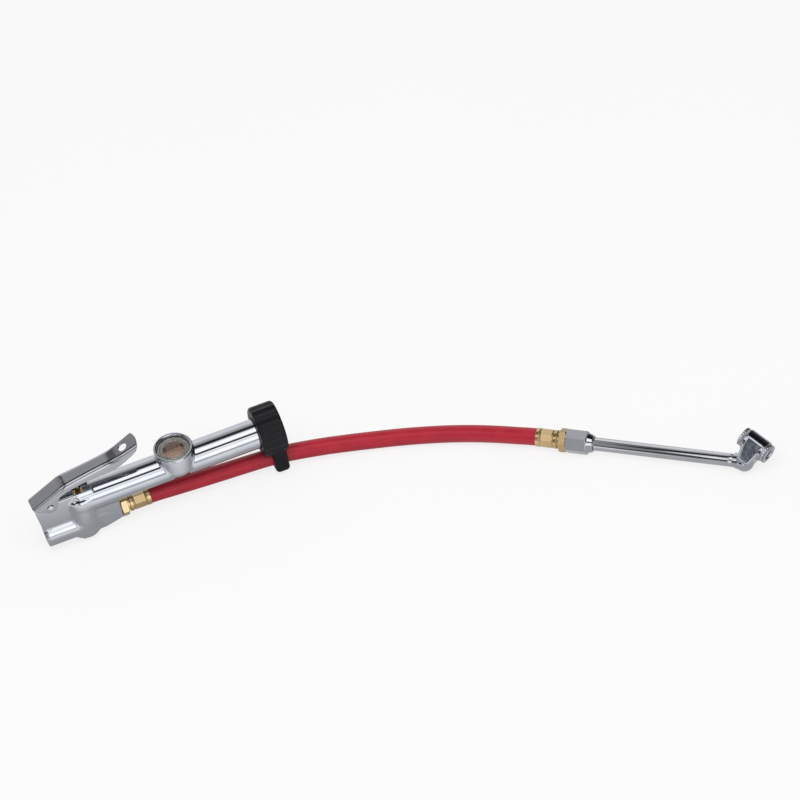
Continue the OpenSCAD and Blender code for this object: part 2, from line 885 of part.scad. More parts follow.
module gauge_end_plug() {
  color("silver")
    translate([0, 0, tube_rise])
      difference() {
        union() {
          rod_x(plug_x, head_x, bore_r - fit);
          rod_x(head_x, head_x + plug_head_t, tube_r - plug_inset);
        }
        rod_x(plug_x - cut, plug_x + plug_depth / 2, rod_d / 2 + fit);
      }
}

module end_plug_gasket() {
  color("black")
    translate([tube_end, 0, tube_rise])
      rotate([0, 90, 0])
        ring_z(0, gasket_t, tube_r - plug_inset, bore_r);
}

// ---- Boot ----

// Square loop that hangs below the tube, with round corners
module loop_outline() {
  half = loop_w / 2;
  translate([-half, -loop_bottom + loop_corner_r])
    square([loop_w, loop_bottom - loop_corner_r]);
  translate([-half + loop_corner_r, -loop_bottom])
    square([loop_w - 2 * loop_corner_r, loop_bottom]);
  for (side = [-1, 1])
    translate([side * (half - loop_corner_r), -loop_bottom + loop_corner_r])
      circle(r = loop_corner_r);
}

module rubber_boot() {
  shoulder = 2.2;
  flute_r = 9;
  color("black")
    difference() {
      union() {
        translate([0, 0, tube_rise])
          difference() {
            union() {
              rod_x(boot_x, boot_x + shoulder, boot_d / 2 - shoulder, boot_d / 2);
              rod_x(boot_x + shoulder, boot_end - shoulder, boot_d / 2);
              rod_x(boot_end - shoulder, boot_end, boot_d / 2, boot_d / 2 - shoulder);
            }
            for (i = [0 : boot_flutes - 1])
              rotate([360 * (i + 0.5) / boot_flutes, 0, 0])
                translate([0, 0, boot_d / 2 + flute_r - flute_depth])
                  rod_x(boot_x - cut, boot_end + cut, flute_r);
          }
        translate([loop_x - loop_t / 2, 0, tube_rise])
          rotate([-loop_turn, 0, 0])
            rotate([90, 0, 90])
              linear_extrude(height = loop_t)
                loop_outline();
      }
      translate([0, 0, tube_rise])
        rod_x(boot_x - cut, boot_cavity_end, tube_r + fit);
      translate([loop_x, -loop_drop * sin(loop_turn), tube_rise - loop_drop * cos(loop_turn)])
        rotate([0, 0, hose_yaw_at_loop])
          rod_x(-loop_t, loop_t, hose_r + loop_gap);
    }
}

// ---- Hose and its fittings ----

// The crimped sleeve: +X runs from the hose's free end into the fitting
module ferrule() {
  collar_a = 3.2;
  collar_b = 2.6;
  color("goldenrod")
    difference() {
      union() {
        rod_x(0, collar_a, ferrule_d / 2);
        rod_x(ferrule_len - collar_b, ferrule_len, ferrule_d / 2);
        intersection() {
          rod_x(collar_a, ferrule_len - collar_b, ferrule_d / 2);
          rotate([22.5, 0, 0])
            rotate([0, 90, 0])
              cylinder(h = ferrule_len, r = crimp_af / 2 / cos(22.5), $fn = 8);
        }
      }
      rod_x(-cut, ferrule_len - ferrule_wall, hose_r - fit);
      rod_x(0, ferrule_len + cut, hose_bore_d / 2);
    }
}

// Barb, neck, hexagon and thread in one turned piece
module hose_insert(turn) {
  barb_start = 1;
  barb_wall = 1;
  neck_r = port_r - 0.4;
  hex_start = ferrule_len + neck_len;
  hex_end = hex_start + fitting_hex_len;
  color("gold")
    difference() {
      union() {
        rod_x(barb_start, hex_end, hose_bore_d / 2 - fit);
        rod_x(ferrule_len, hex_end, neck_r);
        hex_x(hex_start, hex_end, fitting_af, turn);
        rod_x(hex_end, hex_end + thread_len, port_r - fit);
      }
      rod_x(0, hex_end + thread_len + cut, hose_bore_d / 2 - barb_wall);
    }
}

// The stretch of hose that is held in a ferrule, joined to the free hose
module hose_tail() {
  overlap = 1;
  held_len = ferrule_len - ferrule_wall - fit;
  difference() {
    rod_x(-overlap, held_len, hose_r * cos(180 / hose_sides) - fit);
    rod_x(0, held_len + cut, hose_bore_d / 2);
  }
}

module hose() {
  color("crimson")
    union() {
      sweep(concat([hose_start], hose_route, [chuck_p]), [1, 0, 0], chuck_dir, hose_r, hose_sides);
      at_outlet()
        hose_tail();
      at_chuck()
        hose_tail();
    }
}

module body_hose_insert() {
  at_outlet()
    hose_insert(0);
}

module body_ferrule() {
  at_outlet()
    ferrule();
}

module chuck_hose_insert() {
  at_chuck()
    hose_insert(30);
}

module chuck_ferrule() {
  at_chuck()
    ferrule();
}

// ---- Chuck ----

module chuck_coupling() {
  bevel = 0.4;
  collar = 1;
  color("silver")
    at_chuck()
      difference() {
        union() {
          hex_x(coupling_x, coupling_end, coupling_af, 0);
          rod_x(coupling_end, cone_end, coupling_af / 2 - bevel, chuck_stem_d / 2 + collar);
        }
        rod_x(coupling_x - cut, coupling_x + thread_len + cut, port_r);
        rod_x(coupling_x, cone_end, chuck_stem_d / 2 - chuck_stem_wall);
        rod_x(stem_start, cone_end + cut, chuck_stem_d / 2 + fit);
      }
}

module chuck_stem() {
  color("silver")
    at_chuck()
      difference() {
        rod_x(stem_start, chuck_reach, chuck_stem_d / 2);
        rod_x(stem_start - cut, chuck_reach + cut, chuck_stem_d / 2 - chuck_stem_wall);
      }
}

// Shield-shaped web between the barrel and the dome, with round rims along its two slanted sides
module head_shield() {
  rim_r = 1.3;
  face_inset = 0.7;
  foot = [dome_r - rim_r - 0.8, 0.5];
  top = [barrel_half - rim_r - 0.4, head_rise + 3];
  side_len = norm(top - foot);
  side_deg = atan2(top[0] - foot[0], top[1] - foot[1]);
  translate([0, 0, -head_half + face_inset])
    linear_extrude(height = 2 * (head_half - face_inset))
      polygon([foot, top, [-top[0], top[1]], [-foot[0], foot[1]]]);
  for (x = [-1, 1])
    translate([x * foot[0], foot[1], 0])
      rotate([0, 0, -x * side_deg]) {
        for (z = [-1, 1])
          translate([0, 0, z * (head_half - rim_r)])
            rotate([-90, 0, 0])
              cylinder(h = side_len, r = rim_r);
        translate([-rim_r, 0, -head_half + rim_r])
          cube([2 * rim_r, side_len, 2 * (head_half - rim_r)]);
      }
}

module chuck_head() {
  collar_start = chuck_reach - dome_r - 1.2;
  color("silver")
    difference() {
      union() {
        at_head() {
          translate([0, head_rise, 0])
            rod_x(-barrel_half, barrel_half, barrel_d / 2);
          head_shield();
          sphere(r = dome_r);
        }
        // short collar round the stem
        at_chuck()
          rod_x(collar_start, chuck_reach, chuck_stem_d / 2 + 1);
      }
      // stem socket and the air passage up to the barrel
      at_chuck()
        rod_x(collar_start - cut, chuck_reach, chuck_stem_d / 2 + fit);
      at_head() {
        rotate([-90, 0, 0])
          cylinder(h = head_rise, r = head_passage_r);
        translate([0, head_rise, 0]) {
          rod_x(-barrel_half - cut, -septum, socket_bore_r);
          rod_x(septum, barrel_half + cut, socket_bore_r);
          rod_x(-septum - cut, septum + cut, air_hole_r);
        }
      }
    }
}

// Retaining ring with a knurled rim; +X points out of the socket
module retaining_ring() {
  ridges = 24;
  ridge_d = 0.7;
  margin = 0.6;
  color("silver")
    difference() {
      rod_x(barrel_half, barrel_half + ring_len, ring_r);
      rod_x(barrel_half - cut, barrel_half + ring_len + cut, socket_d / 2);
      for (i = [0 : ridges - 1])
        rotate([360 * i / ridges, 0, 0])
          translate([0, 0, ring_r])
            rod_x(barrel_half + margin, barrel_half + ring_len - margin, ridge_d / 2);
    }
}

module socket_washer() {
  color("dimgray")
    difference() {
      rod_x(barrel_half - seal_t, barrel_half, socket_bore_r - fit);
      rod_x(barrel_half - seal_t - cut, barrel_half + cut, pin_d / 2 + slip);
    }
}

module depressor() {
  collar_x = barrel_half - seal_t - fit - pin_collar_t;
  color("gold") {
    rod_x(collar_x, barrel_half - 0.2, pin_d / 2);
    rod_x(collar_x, collar_x + pin_collar_t, pin_collar_d / 2);
  }
}

module socket_spring() {
  color("lightgray")
    coil_x(septum + fit, barrel_half - seal_t - 2 * fit - pin_collar_t, pin_spring_d, pin_wire_d, 2);
}

module front_ring() at_socket(true) retaining_ring();
module rear_ring() at_socket(false) retaining_ring();
module front_washer() at_socket(true) socket_washer();
module rear_washer() at_socket(false) socket_washer();
module front_pin() at_socket(true) depressor();
module rear_pin() at_socket(false) depressor();
module front_spring() at_socket(true) socket_spring();
module rear_spring() at_socket(false) socket_spring();

body_casting();
inlet_screen();
valve_guide();
stem_seal();
valve_stem();
valve_washer();
valve_spring();
valve_plug();
plug_gasket();
lever();
lever_pin();
lens();
lens_ring();
lens_gasket();
gauge_piston();
piston_cup();
indicator_drum();
gauge_spring();
guide_rod();
gauge_end_plug();
end_plug_gasket();
rubber_boot();
body_hose_insert();
body_ferrule();
hose();
chuck_ferrule();
chuck_hose_insert();
chuck_coupling();
chuck_stem();
chuck_head();
front_ring();
rear_ring();
front_washer();
rear_washer();
front_pin();
rear_pin();
front_spring();
rear_spring();
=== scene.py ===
import json
import math

import bpy
import numpy as np
from mathutils import Matrix, Vector

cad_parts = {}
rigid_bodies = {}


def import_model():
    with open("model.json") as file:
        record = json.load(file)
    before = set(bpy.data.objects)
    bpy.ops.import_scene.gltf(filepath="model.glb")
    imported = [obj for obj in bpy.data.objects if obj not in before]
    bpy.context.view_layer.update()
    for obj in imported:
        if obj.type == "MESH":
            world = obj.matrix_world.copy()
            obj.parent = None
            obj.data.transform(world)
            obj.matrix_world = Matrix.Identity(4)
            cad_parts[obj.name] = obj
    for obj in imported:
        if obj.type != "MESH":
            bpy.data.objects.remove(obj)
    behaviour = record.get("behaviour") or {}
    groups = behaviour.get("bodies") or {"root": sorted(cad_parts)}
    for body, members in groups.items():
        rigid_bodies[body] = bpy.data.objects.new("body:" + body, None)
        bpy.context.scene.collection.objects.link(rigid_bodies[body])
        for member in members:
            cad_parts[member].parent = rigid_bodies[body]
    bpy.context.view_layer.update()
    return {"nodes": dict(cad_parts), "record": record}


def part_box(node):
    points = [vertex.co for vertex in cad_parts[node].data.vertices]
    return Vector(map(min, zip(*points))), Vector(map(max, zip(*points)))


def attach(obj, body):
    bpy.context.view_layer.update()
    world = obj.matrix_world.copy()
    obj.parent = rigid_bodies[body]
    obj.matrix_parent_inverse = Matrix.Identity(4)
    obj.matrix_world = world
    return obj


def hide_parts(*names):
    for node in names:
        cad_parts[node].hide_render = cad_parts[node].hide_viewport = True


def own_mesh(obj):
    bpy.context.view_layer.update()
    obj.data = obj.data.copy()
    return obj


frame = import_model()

# The dressed tyre inflator. Meshes are worked out in millimetres in the CAD frame and
# stored in metres: +X along the gauge tube, +Z up, origin at the air inlet's mouth.

MM = 0.001
X, Z = 0, 2  # axes


def node_span(name, axis):
    """Where a CAD node starts and ends along an axis, in millimetres."""
    low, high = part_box(name)
    return low[axis] / MM, high[axis] / MM


# ------------ sizes from the frame

FLOOR_Z = node_span("valve_plug", Z)[0]
TUBE_Z = sum(node_span("gauge_end_plug", Z)) / 2
TUBE_END = node_span("end_plug_gasket", X)[0]
PISTON_GAP = 1.0  # bore left before the piston
BORE_START = node_span("gauge_piston", X)[0] - PISTON_GAP
VALVE_X = sum(node_span("valve_stem", X)) / 2
CHAMBER_BOTTOM = node_span("plug_gasket", Z)[1]
GUIDE_HEAD = 2.0  # height of the valve guide's head over the slot's floor
SLOT_FLOOR = node_span("valve_guide", Z)[1] - GUIDE_HEAD
WINDOW_X = sum(node_span("lens", X)) / 2
RIM_Z, RING_TOP = node_span("lens_ring", Z)
LENS_FOOT = node_span("lens", Z)[0]
GASKET_Z, LENS_FLANGE = node_span("lens_gasket", Z)
DRUM_START, DRUM_END = node_span("indicator_drum", X)
BOOT_START, BOOT_END = node_span("rubber_boot", X)
THREAD_LEN = 10.0
OUTLET_X = node_span("body_hose_insert", X)[0] + THREAD_LEN

# ------------ sizes shared with the CAD source

COS_30 = math.cos(math.radians(30))
THREAD_PITCH = 1.41
LENS_POCKET_R = 12.05
PIVOT = np.array([6.5, 0.0, 31.0])

# Fittings, along their axis from the hose's end: ferrule, gap, hexagon, thread
FERRULE_LEN = 16.0
HEX_START = FERRULE_LEN + 1.5
HEX_END = HEX_START + 5.0
THREAD_END = HEX_END + THREAD_LEN
INSERT_FLATS = 15.2
COUPLING_FLATS = 15.6

CHUCK_YAW = math.radians(-36.2)
CHUCK_Z = FLOOR_Z + COUPLING_FLATS / 2 / COS_30
CHUCK_START = np.array([349.0, -73.5, CHUCK_Z])
CHUCK_REACH = 154.0
HEAD_ROLL = math.radians(40.6)
HEAD_TURN = math.radians(-28.8)
HEAD_RISE = 14.3

# Route of the free hose, in metres, as in the CAD source
HOSE_R = 6.25 * MM
HOSE_ROUTE = [
    (0.0795, 0, 0),
    (0.100, -0.0004, -0.0011),
    (0.118, -0.0009, -0.002),
    (0.136, -0.0014, -0.0028),
    (0.155, -0.0022, -0.0032),
    (0.169, -0.0034, -0.0031),
    (0.183, -0.0053, -0.0032),
    (0.208, -0.0102, -0.0044),
    (0.226, -0.0148, -0.0053),
    (0.243, -0.0197, -0.006),
    (0.260, -0.0252, -0.0064),
    (0.277, -0.0316, -0.0066),
    (0.294, -0.0391, -0.0065),
    (0.310, -0.0476, -0.006),
    (0.324, -0.0563, -0.0053),
    (0.336, -0.0645, -0.0046),
    tuple(CHUCK_START * MM),
]


# ------------ frames of the fittings

def turn_matrix(axis, angle):
    return np.array(Matrix.Rotation(angle, 3, axis))


OUTLET_START = np.array([OUTLET_X + HEX_END, 0, 0])
OUTLET_TURN = turn_matrix("Z", math.pi)
CHUCK_TURN = turn_matrix("Z", CHUCK_YAW)
HEAD_CENTRE = CHUCK_START + CHUCK_TURN @ np.array([CHUCK_REACH, 0, 0])
HEAD_FRAME = CHUCK_TURN @ turn_matrix("X", HEAD_ROLL) @ turn_matrix("Z", HEAD_TURN)
BARREL_CENTRE = HEAD_CENTRE + HEAD_FRAME @ np.array([0, HEAD_RISE, 0])
UPRIGHT = turn_matrix("Y", -math.pi / 2)  # turns a lathe's X axis to +Z


# ------------ distance fields, in mm

def join(a, b, r):
    """Union of two fields with a fillet of radius r in the corner."""
    return np.maximum(r, np.minimum(a, b)) - np.hypot(np.maximum(r - a, 0), np.maximum(r - b, 0))


def meet(a, b, r):
    """Intersection of two fields with edges rounded to radius r."""
    return np.minimum(-r, np.maximum(a, b)) + np.hypot(np.maximum(r + a, 0), np.maximum(r + b, 0))


def carve(a, b, r):
    """Field a less field b, with the edges rounded to radius r."""
    return meet(a, -b, r)


def slab(value, low, high):
    return np.maximum(low - value, value - high)


def disc(along, radial, low, high, radius, edge):
    """Cylinder from low to high along its axis, with rounded edges."""
    return meet(radial - radius, slab(along, low, high), edge)


def polygon(u, v, points):
    """Signed distance to a closed polygon in the plane (u, v)."""
    nearest = np.full(u.shape, 1e9, np.float32)
    inside = np.zeros(u.shape, bool)
    for (u0, v0), (u1, v1) in zip(points, points[1:] + points[:1]):
        du, dv = u1 - u0, v1 - v0
        t = np.clip(((u - u0) * du + (v - v0) * dv) / (du * du + dv * dv), 0, 1)
        nearest = np.minimum(nearest, np.hypot(u - u0 - t * du, v - v0 - t * dv))
        if v0 != v1:
            crosses = (v0 > v) != (v1 > v)
            inside ^= crosses & (u < du * (v - v0) / (v1 - v0) + u0)
    return np.where(inside, -nearest, nearest)


def hexagon(u, v, across_flats, turn=0.0):
    """Distance to a hexagon whose flats face +v when turn is 0."""
    half = across_flats / 2
    best = np.full(u.shape, -1e9, np.float32)
    for k in range(6):
        a = turn + k * math.pi / 3 + math.pi / 2
        best = np.maximum(best, u * math.cos(a) + v * math.sin(a) - half)
    return best


# ------------ field to mesh

CORNER_EDGES = [(a, b) for a in range(8) for b in range(a + 1, 8) if (a ^ b) in (1, 2, 4)]


def surface_net(field, low, high, step):
    """Closed quad mesh of the surface where the field is zero: (points in mm, quads)."""
    axes = [np.arange(l, h + step, step, dtype=np.float32) for l, h in zip(low, high)]
    d = field(*np.meshgrid(*axes, indexing="ij")).astype(np.float32)
    inside = d < 0
    shape = np.array(d.shape) - 1

    def corner(k, values):
        i, j, l = k & 1, k >> 1 & 1, k >> 2 & 1
        return values[i:shape[0] + i, j:shape[1] + j, l:shape[2] + l]

    count_inside = sum(corner(k, inside).astype(np.int8) for k in range(8))
    cells = np.argwhere((count_inside > 0) & (count_inside < 8))
    values = np.stack([corner(k, d)[tuple(cells.T)] for k in range(8)], axis=1)
    offsets = np.array([[k & 1, k >> 1 & 1, k >> 2 & 1] for k in range(8)], np.float32)
    total = np.zeros((len(cells), 3), np.float32)
    hits = np.zeros(len(cells), np.float32)
    for a, b in CORNER_EDGES:
        va, vb = values[:, a], values[:, b]
        cross = (va < 0) != (vb < 0)
        t = np.where(cross, va / np.where(cross, va - vb, 1), 0)
        point = offsets[a] + t[:, None] * (offsets[b] - offsets[a])
        total += np.where(cross[:, None], point, 0)
        hits += cross
    points = (cells + total / hits[:, None]) * step + np.array([ax[0] for ax in axes])
    index = np.full(tuple(shape), -1, np.int64)
    index[tuple(cells.T)] = np.arange(len(cells))
    quads = []
    for axis in range(3):
        u, v = (axis + 1) % 3, (axis + 2) % 3
        first = [slice(None)] * 3
        first[axis] = slice(0, -1)
        second = [slice(None)] * 3
        second[axis] = slice(1, None)
        a, b = inside[tuple(first)], inside[tuple(second)]
        for flips, hit in ((False, a & ~b), (True, ~a & b)):
            at = np.argwhere(hit)
            keep = (at[:, u] > 0) & (at[:, v] > 0) & (at[:, u] < shape[u]) & (at[:, v] < shape[v])
            at = at[keep]
            ring = []
            for su, sv in ((1, 1), (0, 1), (0, 0), (1, 0)):
                cell = at.copy()
                cell[:, u] -= su
                cell[:, v] -= sv
                ring.append(index[tuple(cell.T)])
            ring = np.stack(ring, axis=1)
            quads.append(ring[:, ::-1] if flips else ring)
    return points.astype(np.float64), np.concatenate(quads)


SETTLE_ROUNDS = 3
SETTLE_PROBE = 0.02  # mm to either side of a point
NORMAL_PROBE = 0.05
LONGEST_MOVE = 0.3
FLATTEST = 0.25  # lowest squared slope, so that no point is thrown far


def change_across(field, points, probe):
    """How much the field changes from one side of each point to the other."""
    x, y, z = points.T
    return np.stack([
        field(x + probe, y, z) - field(x - probe, y, z),
        field(x, y + probe, z) - field(x, y - probe, z),
        field(x, y, z + probe) - field(x, y, z - probe),
    ], axis=1)


def settle(field, points):
    """Moves points onto the field's zero surface along its gradient."""
    for _ in range(SETTLE_ROUNDS):
        gradient = change_across(field, points, SETTLE_PROBE) / (2 * SETTLE_PROBE)
        steepness = np.maximum((gradient * gradient).sum(1), FLATTEST)
        move = np.clip(field(*points.T) / steepness, -LONGEST_MOVE, LONGEST_MOVE)
        points = points - move[:, None] * gradient
    return points


def field_normals(field, points):
    change = change_across(field, points, NORMAL_PROBE)
    return change / np.maximum(np.linalg.norm(change, axis=1), 1e-9)[:, None]


def make_object(name, points_mm, faces, material):
    mesh = bpy.data.meshes.new(name)
    mesh.from_pydata((np.asarray(points_mm) * MM).tolist(), [], [list(map(int, f)) for f in faces])
    mesh.validate()
    mesh.polygons.foreach_set("use_smooth", np.full(len(mesh.polygons), True))
    mesh.materials.append(material)
    mesh.update()
    obj = bpy.data.objects.new(name, mesh)
    bpy.context.scene.collection.objects.link(obj)
    return obj


def make_field_object(name, field, low, high, step, material, origin=np.zeros(3), turn=np.eye(3)):
    """Meshes a field given in a local frame, then turns it and moves it to origin."""
    points, quads = surface_net(field, low, high, step)
    points = settle(field, points)
    normals = field_normals(field, points) @ turn.T
    obj = make_object(name, points @ turn.T + origin, quads, material)
    if len(obj.data.vertices) == len(normals):
        obj.data.normals_split_custom_set_from_vertices(normals.tolist())
    return obj


def make_lathe(name, profile, material, origin, turn, sides=96, radius_at=None):
    """Spins a closed profile of (x, r) points round the local X axis, where r = 0 is one point."""
    points, index = [], {}
    for k in range(sides):
        angle = 2 * math.pi * k / sides
        for i, (x, r) in enumerate(profile):
            if r == 0 and k:
                index[k, i] = index[0, i]
                continue
            radius = r if radius_at is None else radius_at(x, r, angle)
            index[k, i] = len(points)
            points.append((x, radius * math.cos(angle), radius * math.sin(angle)))
    faces = []
    for k in range(sides):
        for i in range(len(profile)):
            j, m = (i + 1) % len(profile), (k + 1) % sides
            corners = tuple(dict.fromkeys((index[m, i], index[m, j], index[k, j], index[k, i])))
            if len(corners) > 2:
                faces.append(corners)
    points = np.array(points) @ turn.T + origin
    return make_object(name, points, faces, material)


def place(obj, body, slot, *nodes):
    """Rides a piece on a body and hides the CAD nodes that it stands for. The slot is not used."""
    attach(obj, body)
    if nodes:
        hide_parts(*nodes)


def paint_faces(obj, material, chosen):
    """Gives a second material to the faces whose centres, in millimetres, are chosen."""
    mesh = obj.data
    mesh.materials.append(material)
    centres = np.empty(len(mesh.polygons) * 3)
    mesh.polygons.foreach_get("center", centres)
    mesh.polygons.foreach_set("material_index", chosen(centres.reshape(-1, 3) / MM).astype(np.int32))
    mesh.update()


# ------------ shader nodes

def new_material(name):
    material = bpy.data.materials.new(name)
    material.use_nodes = True
    return material


def feed(tree, node, inputs):
    """Links outputs to a node's inputs, or sets the inputs to constants."""
    for key, value in inputs.items():
        if isinstance(value, bpy.types.NodeSocket):
            tree.links.new(value, node.inputs[key])
        else:
            node.inputs[key].default_value = value


def add_node(tree, kind, inputs):
    node = tree.nodes.new(kind)
    feed(tree, node, inputs)
    return node


def add_maths(tree, operation, *values):
    node = add_node(tree, "ShaderNodeMath", dict(enumerate(values)))
    node.operation = operation
    return node.outputs["Value"]


def add_colour_mix(tree, factor, first, second, blend="MIX"):
    node = tree.nodes.new("ShaderNodeMix")
    node.data_type = "RGBA"
    node.blend_type = blend
    feed(tree, node, {"Factor": factor, "A": first, "B": second})
    return node.outputs["Result"]


def add_shader_mix(tree, factor, first, second):
    """The first shader where the factor is 0, the second where it is 1."""
    return add_node(tree, "ShaderNodeMixShader", {0: factor, 1: first, 2: second}).outputs["Shader"]


def grey(v):
    return (v, v, v)


def value_ramp(tree, source, stops):
    node = add_node(tree, "ShaderNodeValToRGB", {"Fac": source})
    elements = node.color_ramp.elements
    while len(elements) < len(stops):
        elements.new(0.5)
    for element, (at, colour) in zip(elements, stops):
        element.position = at
        element.color = (*colour, 1)
    return node.outputs["Color"]


def span(tree, source, low, high):
    """0 where the source is low, 1 where it is high."""
    inputs = {"Value": source, "From Min": low, "From Max": high}
    return add_node(tree, "ShaderNodeMapRange", inputs).outputs["Result"]


def object_noise(tree, scale, detail=4.0, stretch=(1, 1, 1)):
    coords = tree.nodes.new("ShaderNodeTexCoord")
    mapping = add_node(tree, "ShaderNodeMapping", {"Vector": coords.outputs["Object"], "Scale": stretch})
    inputs = {"Vector": mapping.outputs["Vector"], "Scale": scale, "Detail": detail}
    return add_node(tree, "ShaderNodeTexNoise", inputs).outputs["Fac"]


# ------------ materials

BUMP_HEIGHT = 0.0002  # metres


def surface(name, dark, light, rough, grain, bump, fine, metallic=1.0, stretch=(1, 1, 1), specular=0.5):
    """Surface whose colour and roughness vary with noise, with a fine bump."""
    material = new_material(name)
    tree = material.node_tree
    noise = object_noise(tree, grain, 5.0, stretch)
    height = object_noise(tree, fine, 3.0, stretch)
    inputs = {"Strength": bump, "Distance": BUMP_HEIGHT, "Height": height}
    relief = add_node(tree, "ShaderNodeBump", inputs).outputs["Normal"]
    feed(tree, tree.nodes["Principled BSDF"], {
        "Base Color": value_ramp(tree, noise, [(0.3, dark), (0.7, light)]),
        "Metallic": metallic,
        "Roughness": value_ramp(tree, noise, [(0.3, grey(rough[0])), (0.7, grey(rough[1]))]),
        "Specular IOR Level": specular,
        "Normal": relief,
    })
    return material


CHROME = surface(
    "chrome", (0.50, 0.52, 0.565), (0.56, 0.58, 0.625),
    rough=(0.05, 0.09), grain=60, bump=0.05, fine=160)
STEM_CHROME = surface(
    "stem_chrome", (0.55, 0.56, 0.59), (0.62, 0.63, 0.66),
    rough=(0.08, 0.12), grain=80, bump=0.02, fine=120)
LEVER_STEEL = surface(
    "lever_steel", (0.36, 0.365, 0.395), (0.41, 0.415, 0.445),
    rough=(0.09, 0.14), grain=300, bump=0.05, fine=1500, stretch=(0.12, 1, 0.12))
BRASS = surface(
    "brass", (0.58, 0.42, 0.22), (0.68, 0.51, 0.29),
    rough=(0.20, 0.28), grain=60, bump=0.03, fine=150)
STEEL = surface(
    "steel", (0.42, 0.42, 0.43), (0.52, 0.52, 0.53),
    rough=(0.20, 0.30), grain=200, bump=0.1, fine=900)
HOSE_RED = surface(
    "hose_red", (0.37, 0.011, 0.027), (0.45, 0.017, 0.037),
    metallic=0.0, rough=(0.34, 0.42), grain=90, bump=0.12, fine=700, specular=0.35)
BOOT_BLACK = surface(
    "boot_black", (0.004, 0.004, 0.006), (0.009, 0.009, 0.012),
    metallic=0.0, rough=(0.36, 0.48), grain=150, bump=0.22, fine=700, specular=0.20)
SEAL_BLACK = surface(
    "seal_black", (0.012, 0.012, 0.013), (0.02, 0.02, 0.022),
    metallic=0.0, rough=(0.5, 0.6), grain=200, bump=0.2, fine=900)
DRUM_BROWN = surface(
    "drum_brown", (0.27, 0.135, 0.09), (0.42, 0.22, 0.14),
    metallic=0.0, rough=(0.30, 0.42), grain=150, bump=0.1, fine=800)
LENS_OLIVE = surface(
    "lens_olive", (0.17, 0.165, 0.15), (0.29, 0.28, 0.26),
    metallic=0.2, rough=(0.25, 0.40), grain=260, bump=0.15, fine=900)
# darker bluish metal for the shield's recesses: painted dark reflection, with a duller finish
SHIELD_DARK_REFLECTION = surface(
    "shield_painted_reflection", (0.13, 0.155, 0.20), (0.34, 0.37, 0.43),
    rough=(0.22, 0.38), grain=380, bump=0.35, fine=520)


def make_lens_material():
    """Clear plastic that lets light fall straight through onto the drum."""
    material = new_material("lens_clear")
    tree = material.node_tree
    shader = tree.nodes["Principled BSDF"]
    feed(tree, shader, {
        "Base Color": (0.95, 0.96, 0.96, 1),
        "Roughness": value_ramp(tree, object_noise(tree, 150), [(0.3, grey(0.0)), (0.8, grey(0.03))]),
        "IOR": 1.49,
        "Transmission Weight": 1.0,
    })
    path = tree.nodes.new("ShaderNodeLightPath")
    lit = add_maths(tree, "MAXIMUM", path.outputs["Is Shadow Ray"], path.outputs["Is Diffuse Ray"])
    clear = tree.nodes.new("ShaderNodeBsdfTransparent")
    mixed = add_shader_mix(tree, lit, shader.outputs["BSDF"], clear.outputs["BSDF"])
    feed(tree, tree.nodes["Material Output"], {"Surface": mixed})
    return material


LENS_CLEAR = make_lens_material()

NODE_MATERIALS = {
    "chrome_casting": CHROME,
    "lever_steel": LEVER_STEEL,
    "chrome_steel": STEM_CHROME,
    "brass": BRASS,
    "steel": STEEL,
    "spring_steel": STEEL,
    "seal_rubber": SEAL_BLACK,
    "boot_rubber": BOOT_BLACK,
    "hose_rubber": HOSE_RED,
    "lens_plastic": LENS_CLEAR,
    "drum_plastic": DRUM_BROWN,
}


def dress_nodes():
    """Gives every CAD node the material of its slot in the record."""
    slots = {s["node"]: s["material_slot"] for s in frame["record"]["subparts"]}
    for name, obj in frame["nodes"].items():
        obj.data.materials.clear()
        obj.data.materials.append(NODE_MATERIALS[slots[name]])


# ------------ camera

VIEW_AZIMUTH = math.radians(-12.0)
VIEW_ELEVATION = math.radians(46.9)
VIEW_ROLL = math.radians(11.4)
VIEW_TARGET = Vector((0.2667, -0.0256, 0.0303))
VIEW_DISTANCE = 12.0
VIEW_WIDTH = 0.5694
SENSOR_WIDTH = 36


def make_camera():
    back = Vector((
        math.sin(VIEW_AZIMUTH) * math.cos(VIEW_ELEVATION),
        -math.cos(VIEW_AZIMUTH) * math.cos(VIEW_ELEVATION),
        math.sin(VIEW_ELEVATION),
    ))
    level = Vector((math.cos(VIEW_AZIMUTH), math.sin(VIEW_AZIMUTH), 0))
    right = level * math.cos(VIEW_ROLL) - back.cross(level) * math.sin(VIEW_ROLL)
    up = back.cross(right)
    data = bpy.data.cameras.new("camera")
    data.sensor_width = SENSOR_WIDTH
    data.lens = SENSOR_WIDTH * VIEW_DISTANCE / VIEW_WIDTH
    camera = bpy.data.objects.new("camera", data)
    turn = Matrix((right, up, back)).transposed().to_4x4()
    camera.matrix_world = Matrix.Translation(VIEW_TARGET + back * VIEW_DISTANCE) @ turn
    bpy.context.scene.collection.objects.link(camera)
    bpy.context.scene.camera = camera


# ------------ light and stage

# Studio as metal sees it: brightness by direction round the X axis, in degrees from +Y through
# +Z. Long strip lamps and dark flags run parallel to the gauge tube.
STUDIO_BANDS = [
    (-180, 0.45), (-150, 0.90), (-60, 0.60), (-28, 1.05), (-8, 1.0), (36, 0.94), (44, 0.60), (52, 0.58),
    (60, 0.38), (66, 0.10), (70, 0.02), (81, 0.02), (86, 0.30), (91, 1.15), (98, 1.60), (112, 1.75),
    (119, 1.60), (122.5, 0.05), (133, 0.05), (136.5, 1.40), (143, 1.50), (147, 0.85), (151, 1.50),
    (160, 1.75), (172, 1.70), (176, 1.20), (180, 0.45),
]
# The same for directions that look out past the inlet, and how far it takes over by their x
STUDIO_LEFT = [(-180, 0.45), (60, 0.40), (100, 0.30), (125, 0.05), (150, 0.04), (157, 0.50), (180, 0.50)]
LEFT_SHARE = [(-1.0, 1.0), (-0.70, 1.0), (-0.62, 0.0)]
